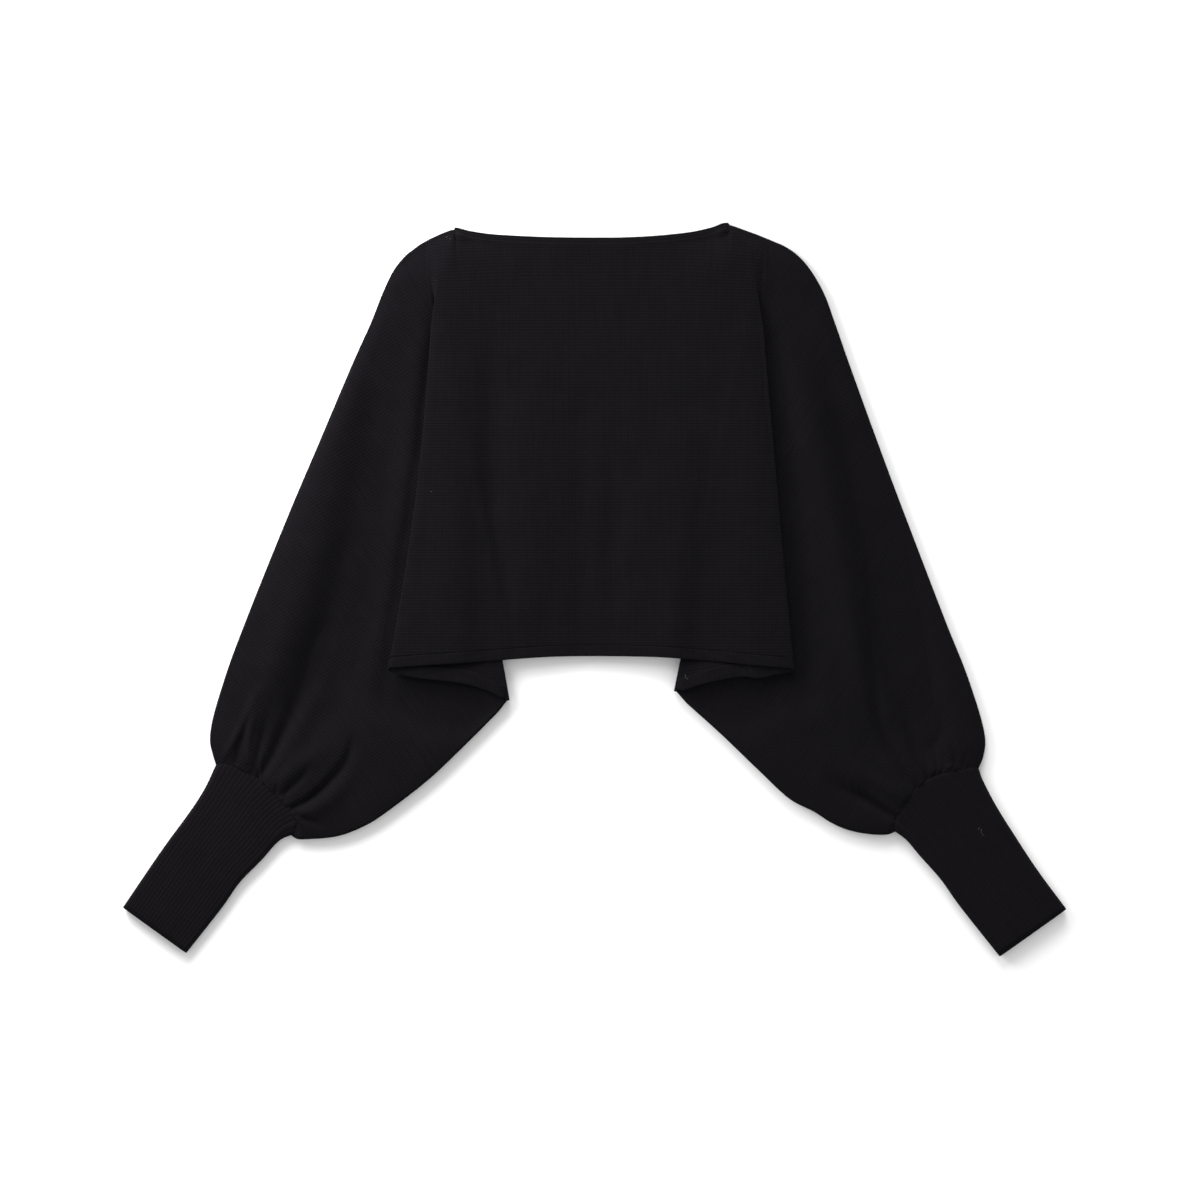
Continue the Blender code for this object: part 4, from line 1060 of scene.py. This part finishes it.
def sew_hem_band(side_name, panel):
    """A hem band beside the panel's lower edge, from one tip round to the other. The turned
    layer lies on the cloth's wrong side, which frame_along's out faces on the front."""
    on_hem = ~np.isnan(panel.hem_ends[:, 0])
    edge, inside = panel.points[on_hem, -1], panel.points[on_hem, -EDGE_STEPS - 1]
    level = np.maximum(edge[:, 2], HEM_THICKNESS / 2)
    rim = np.column_stack([panel.hem_ends[on_hem], level])
    inner = rim[:, :2] + unit(inside[:, :2] - rim[:, :2]) * HEM_WIDTH
    inner = np.column_stack([inner, level])
    length = np.concatenate([[0], np.cumsum(np.linalg.norm(np.diff(rim, axis=0), axis=1))])
    at_end = 1 - ease(np.minimum(length, length[-1] - length) / HEM_END)[:, None]
    rim = rim + unit(inner - rim) * HEM_END_ROUND * at_end**2
    out = frame_along(inner, rim)[2]
    wrong_side = out if side_name == "front" else -out
    inner, rim = (e + wrong_side * ((HEM_THICKNESS - WALL) / 2 + HEM_BELOW) for e in (inner, rim))
    for end in (inner, rim):
        end[:, 2] = np.maximum(end[:, 2], HEM_THICKNESS / 2)
    rings = rolled_band(inner, rim, HEM_THICKNESS * (1 - HEM_END_THIN * at_end[..., None]))
    flat_edge = panel.flat[on_hem, -1]
    flat_down = unit(flat_edge - panel.flat[on_hem, -2])
    half_turn = np.abs(np.linspace(-1, 1, RING_POINTS, endpoint=False))[None, :, None]
    uv = flat_edge[:, None] + flat_down[:, None] * HEM_WIDTH * (1 - half_turn)
    band = add_band(f"{side_name}_hem", rings, uv / (WALE, COURSE), jersey)
    along, across, out = frame_along(inner, rim)
    places = np.arange(HEM_STITCH_PITCH, length[-1] - HEM_STITCH_PITCH, HEM_STITCH_PITCH)
    rim, along, across, out = (through(length, c, places) for c in (rim, along, across, out))
    along, across, out = unit(along), unit(across), unit(out)
    stitches = thread_rings(
        f"{side_name}_hem_stitches",
        rim - across * HEM_STITCH_FROM_RIM - out * HEM_THICKNESS / 2,
        np.stack([along, across, out], axis=1),
        HEM_STITCH_LENGTH, HEM_STITCH_WIDTH, HEM_STITCH_YARN, thread,
    )
    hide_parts(f"{side_name}_hem_band")
    return band


sew_hem_band("back", back)
front_hem = sew_hem_band("front", front)

# ---------------------------------------------------------------------------------------
# Cuffs. Each is a tube of narrow rib, 46 ribs round and 170 mm long, that lies flat below
# the wrist seam. The full sleeve end is gathered on to its bowed upper edge, and its lower
# end is open, with the plain edge that rib has.

RIBS = 46
POINTS_PER_RIB = 8
CUFF_ROWS, ROW_SPREAD = 60, 1.3  # rows are closer near the wrist seam, as share^this
CUFF_LENGTH = 170.0
CUFF_WALL = 1.5
RIB_DEPTH = 0.22
RIB_ROUNDNESS = 0.75
CUFF_FLOOR = 1.3
CUFF_CROWN = 0.8
CUFF_BEND = 4.4  # radius of the bends at both sides
CUFF_BASE_WIDTH = 86.0
BEND_STEPS, RUN_STEPS = 60, 120
BOW_FADE = 1.5  # the seam's bow dies out along the cuff as (1 - share)^this
TUCK_IN, TUCK_DOWN, TUCK_REACH = 0.15, 0.8, 3.0  # its upper end draws in, over this length
SEAM_OVERLAP = 1.6
RIB_COURSE = 2.6
RIB_DYE = (0.0045, 0.0038, 0.0049)

# The two sides of a cuff, from the wrist seam to the open end, and the heights of its
# upper wall there.
Cuff = namedtuple("Cuff", "outer inner top_z end_z side")
CUFFS = {
    "left": Cuff(
        ((-378.8, -173), (-391, -199), (-407, -223.5), (-432.5, -258.5), (-471.5, -315.8)),
        ((-300.2, -243.6), (-316, -250.5), (-334, -270), (-355, -291.5), (-373, -317), (-408, -361.5)),
        10.0, 8.8, LEFT,
    ),
    "right": Cuff(
        ((383.4, -176.4), (388, -189.5), (400, -213), (416, -239), (441.5, -278), (470.8, -317.5)),
        ((297.4, -239.4), (311.5, -249.6), (325, -265.5), (345.5, -288.5), (364, -314.5), (404, -365)),
        10.0, 8.8, RIGHT,
    ),
}


def rib_ring():
    """A flattened tube's section at even steps of its length: share of the way across,
    height as a share of the tube's, and the section's outward direction. Two half rounds
    of CUFF_BEND stand at its sides, and the upper run rises by a parabola's crown."""
    half = CUFF_BASE_WIDTH / 2 - CUFF_BEND
    bend = np.linspace(-np.pi / 2, np.pi / 2, BEND_STEPS)
    run = np.linspace(-1, 1, RUN_STEPS)
    x = np.concatenate([-half - CUFF_BEND * np.cos(bend), half * run[1:-1],
                        half + CUFF_BEND * np.cos(bend), -half * run[1:]])
    z = np.concatenate([CUFF_BEND * np.sin(bend), CUFF_BEND + CUFF_CROWN * (1 - run[1:-1] ** 2),
                        CUFF_BEND * np.sin(bend[::-1]), -CUFF_BEND + 0 * run[1:]])
    line = np.column_stack([x, z])
    length = np.concatenate([[0], np.cumsum(np.linalg.norm(np.diff(line, axis=0), axis=1))])
    count = RIBS * POINTS_PER_RIB
    at = np.linspace(0, length[-1], count, endpoint=False)
    section = np.column_stack([np.interp(at, length, line[:, k]) for k in (0, 1)])
    along = np.roll(section, -1, axis=0) - np.roll(section, 1, axis=0)
    outward = unit(np.column_stack([-along[:, 1], along[:, 0]]))
    return section, outward


rib_knit = knit_cloth("black_rib", RIB_DYE, RIB_RELIEF)


def knit_cuff(side_name):
    """A ribbed cuff. Its section is carried from the bowed wrist seam to the open end, and
    moved outwards by RIB_DEPTH (|cos|^RIB_ROUNDNESS of half the rib's turn - 1/2)."""
    cuff = CUFFS[side_name]
    section, outward = rib_ring()
    rows = np.linspace(0, 1, CUFF_ROWS) ** ROW_SPREAD
    outer, inner = (
        through(np.linspace(0, 1, len(side)), side, rows) for side in (cuff.outer, cuff.inner)
    )
    across = inner - outer
    width = np.linalg.norm(across, axis=1)[:, None]
    across = across / width
    base_half = CUFF_BASE_WIDTH / 2
    turn = np.pi * np.arange(len(section)) / POINTS_PER_RIB
    ribbed = RIB_DEPTH * (2 * np.abs(np.cos(turn)) ** RIB_ROUNDNESS - 1)
    share = (section[:, 0] + base_half) / CUFF_BASE_WIDTH
    knots, heights = np.transpose(cuff.side.wrist_bow)
    bow = through(knots, heights[:, None], np.clip(share, 0, 1))[:, 0]
    side_dir = cuff.side.pleat.side
    up_sleeve = np.column_stack([-across[:, 1], across[:, 0]]) * side_dir
    clear = CUFF_WALL / 2 + RIB_DEPTH
    tuck = np.exp(-((rows * CUFF_LENGTH / TUCK_REACH) ** 2))[:, None]
    distance = clear + share * (width - 2 * clear) + (ribbed - TUCK_IN * tuck) * outward[:, 0]
    plan = outer[:, None] + distance[..., None] * across[:, None]
    fade = (1 - rows) ** BOW_FADE
    plan += ((bow + SEAM_OVERLAP) * fade[:, None])[..., None] * up_sleeve[:, None]
    half_height = (mix(cuff.top_z, cuff.end_z, rows) - CUFF_FLOOR)[:, None] / 2
    height = CUFF_FLOOR + half_height * (1 + section[:, 1] / CUFF_BEND)
    height += (ribbed - TUCK_DOWN * tuck) * outward[:, 1]
    points = np.concatenate([plan, height[..., None]], axis=-1).transpose(1, 0, 2)
    faces = quads_of(wrapped(indices(points), 0))[:, ::side_dir]
    column = np.arange(len(section) + 1) / POINTS_PER_RIB
    uv = np.stack(np.broadcast_arrays(column[:, None], rows * CUFF_LENGTH / RIB_COURSE), axis=-1)
    uv = uv.reshape(-1, 2)[quads_of(indices(uv))[:, ::side_dir].reshape(-1)]
    piece = add_piece(f"{side_name}_rib_cuff", points, faces.tolist(), uv, rib_knit, CUFF_WALL)
    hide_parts(f"{side_name}_cuff")
    return piece


knit_cuff("left")
right_cuff = knit_cuff("right")

# ---------------------------------------------------------------------------------------
# Lint. A few pale fibres have caught on the front and on the right cuff, as they do on any
# black knit. They are short bent hairs that lie loose on the cloth.

# Where each fibre's middle is, which way it runs and how far it bends, in degrees, and how
# long it is
Fibre = namedtuple("Fibre", "x y heading bend long")
FIBRES = (
    Fibre(-148, 353.5, 15, 70, 2.4),
    Fibre(-144.5, 351.6, 110, 40, 1.8),
    Fibre(-170, 183, 80, 90, 1.9),
    Fibre(-163, 99, 150, 60, 2.2),
    Fibre(73, 17, 60, 80, 1.8),
    Fibre(91, -86, -60, 120, 7.0),
    Fibre(386, -241, 115, -110, 9.0),
    Fibre(383, -237, 40, 50, 3.0),
)
FIBRE_RADIUS = 0.13
FIBRE_STEPS, FIBRE_SIDES = 12, 6
FIBRE_REACH = 2.0  # it lies on the highest cloth this near
LINT_PALE, LINT_ROUGHNESS = (0.075, 0.072, 0.078), 0.9


def shed_lint(pieces):
    """All fibres as one mesh: each a round tube along an arc that turns by its bend, its
    height that of the highest point of the pieces within FIBRE_REACH of its middle line."""
    x, y, heading, bend, long = np.array(FIBRES, float).T[:, :, None]
    share = np.linspace(-0.5, 0.5, FIBRE_STEPS)
    angle = np.radians(heading + bend * share)
    forward = np.stack([np.cos(angle), np.sin(angle)], axis=-1)
    line = np.cumsum(forward * (long / FIBRE_STEPS)[..., None], axis=1)
    line += np.stack([x, y], axis=-1) - line.mean(axis=1, keepdims=True)
    cloth = np.concatenate([points_of(piece) for piece in pieces])
    gap = np.linalg.norm(line[:, :, None] - cloth[:, :2], axis=-1)
    level = np.where(gap < FIBRE_REACH, cloth[:, 2], 0).max(axis=-1) + WALL / 2 - FIBRE_RADIUS
    centre = np.concatenate([line, level[..., None]], axis=-1)[:, :, None]
    turn = np.linspace(0, 2 * np.pi, FIBRE_SIDES, endpoint=False)[:, None]
    sideways = np.stack([-np.sin(angle), np.cos(angle), 0 * angle], axis=-1)[:, :, None]
    points = centre + FIBRE_RADIUS * (np.cos(turn) * sideways + np.sin(turn) * [0.0, 0.0, 1.0])
    index = indices(points)
    quads = quads_of(wrapped(index, 2))
    caps = np.concatenate([index[:, 0, ::-1], index[:, -1]])
    faces = quads.tolist() + caps.tolist()
    add_piece("lint", points, faces, np.zeros((quads.size + caps.size, 2)), lint, None)


def points_of(piece):
    """A piece's points in millimetres, read from its mesh."""
    points = np.empty(len(piece.data.vertices) * 3)
    piece.data.vertices.foreach_get("co", points)
    return points.reshape(-1, 3) / MM


lint = plain_shader("pale_lint", LINT_PALE, LINT_ROUGHNESS)[0]
shed_lint([front.piece, front_hem, right_cuff])
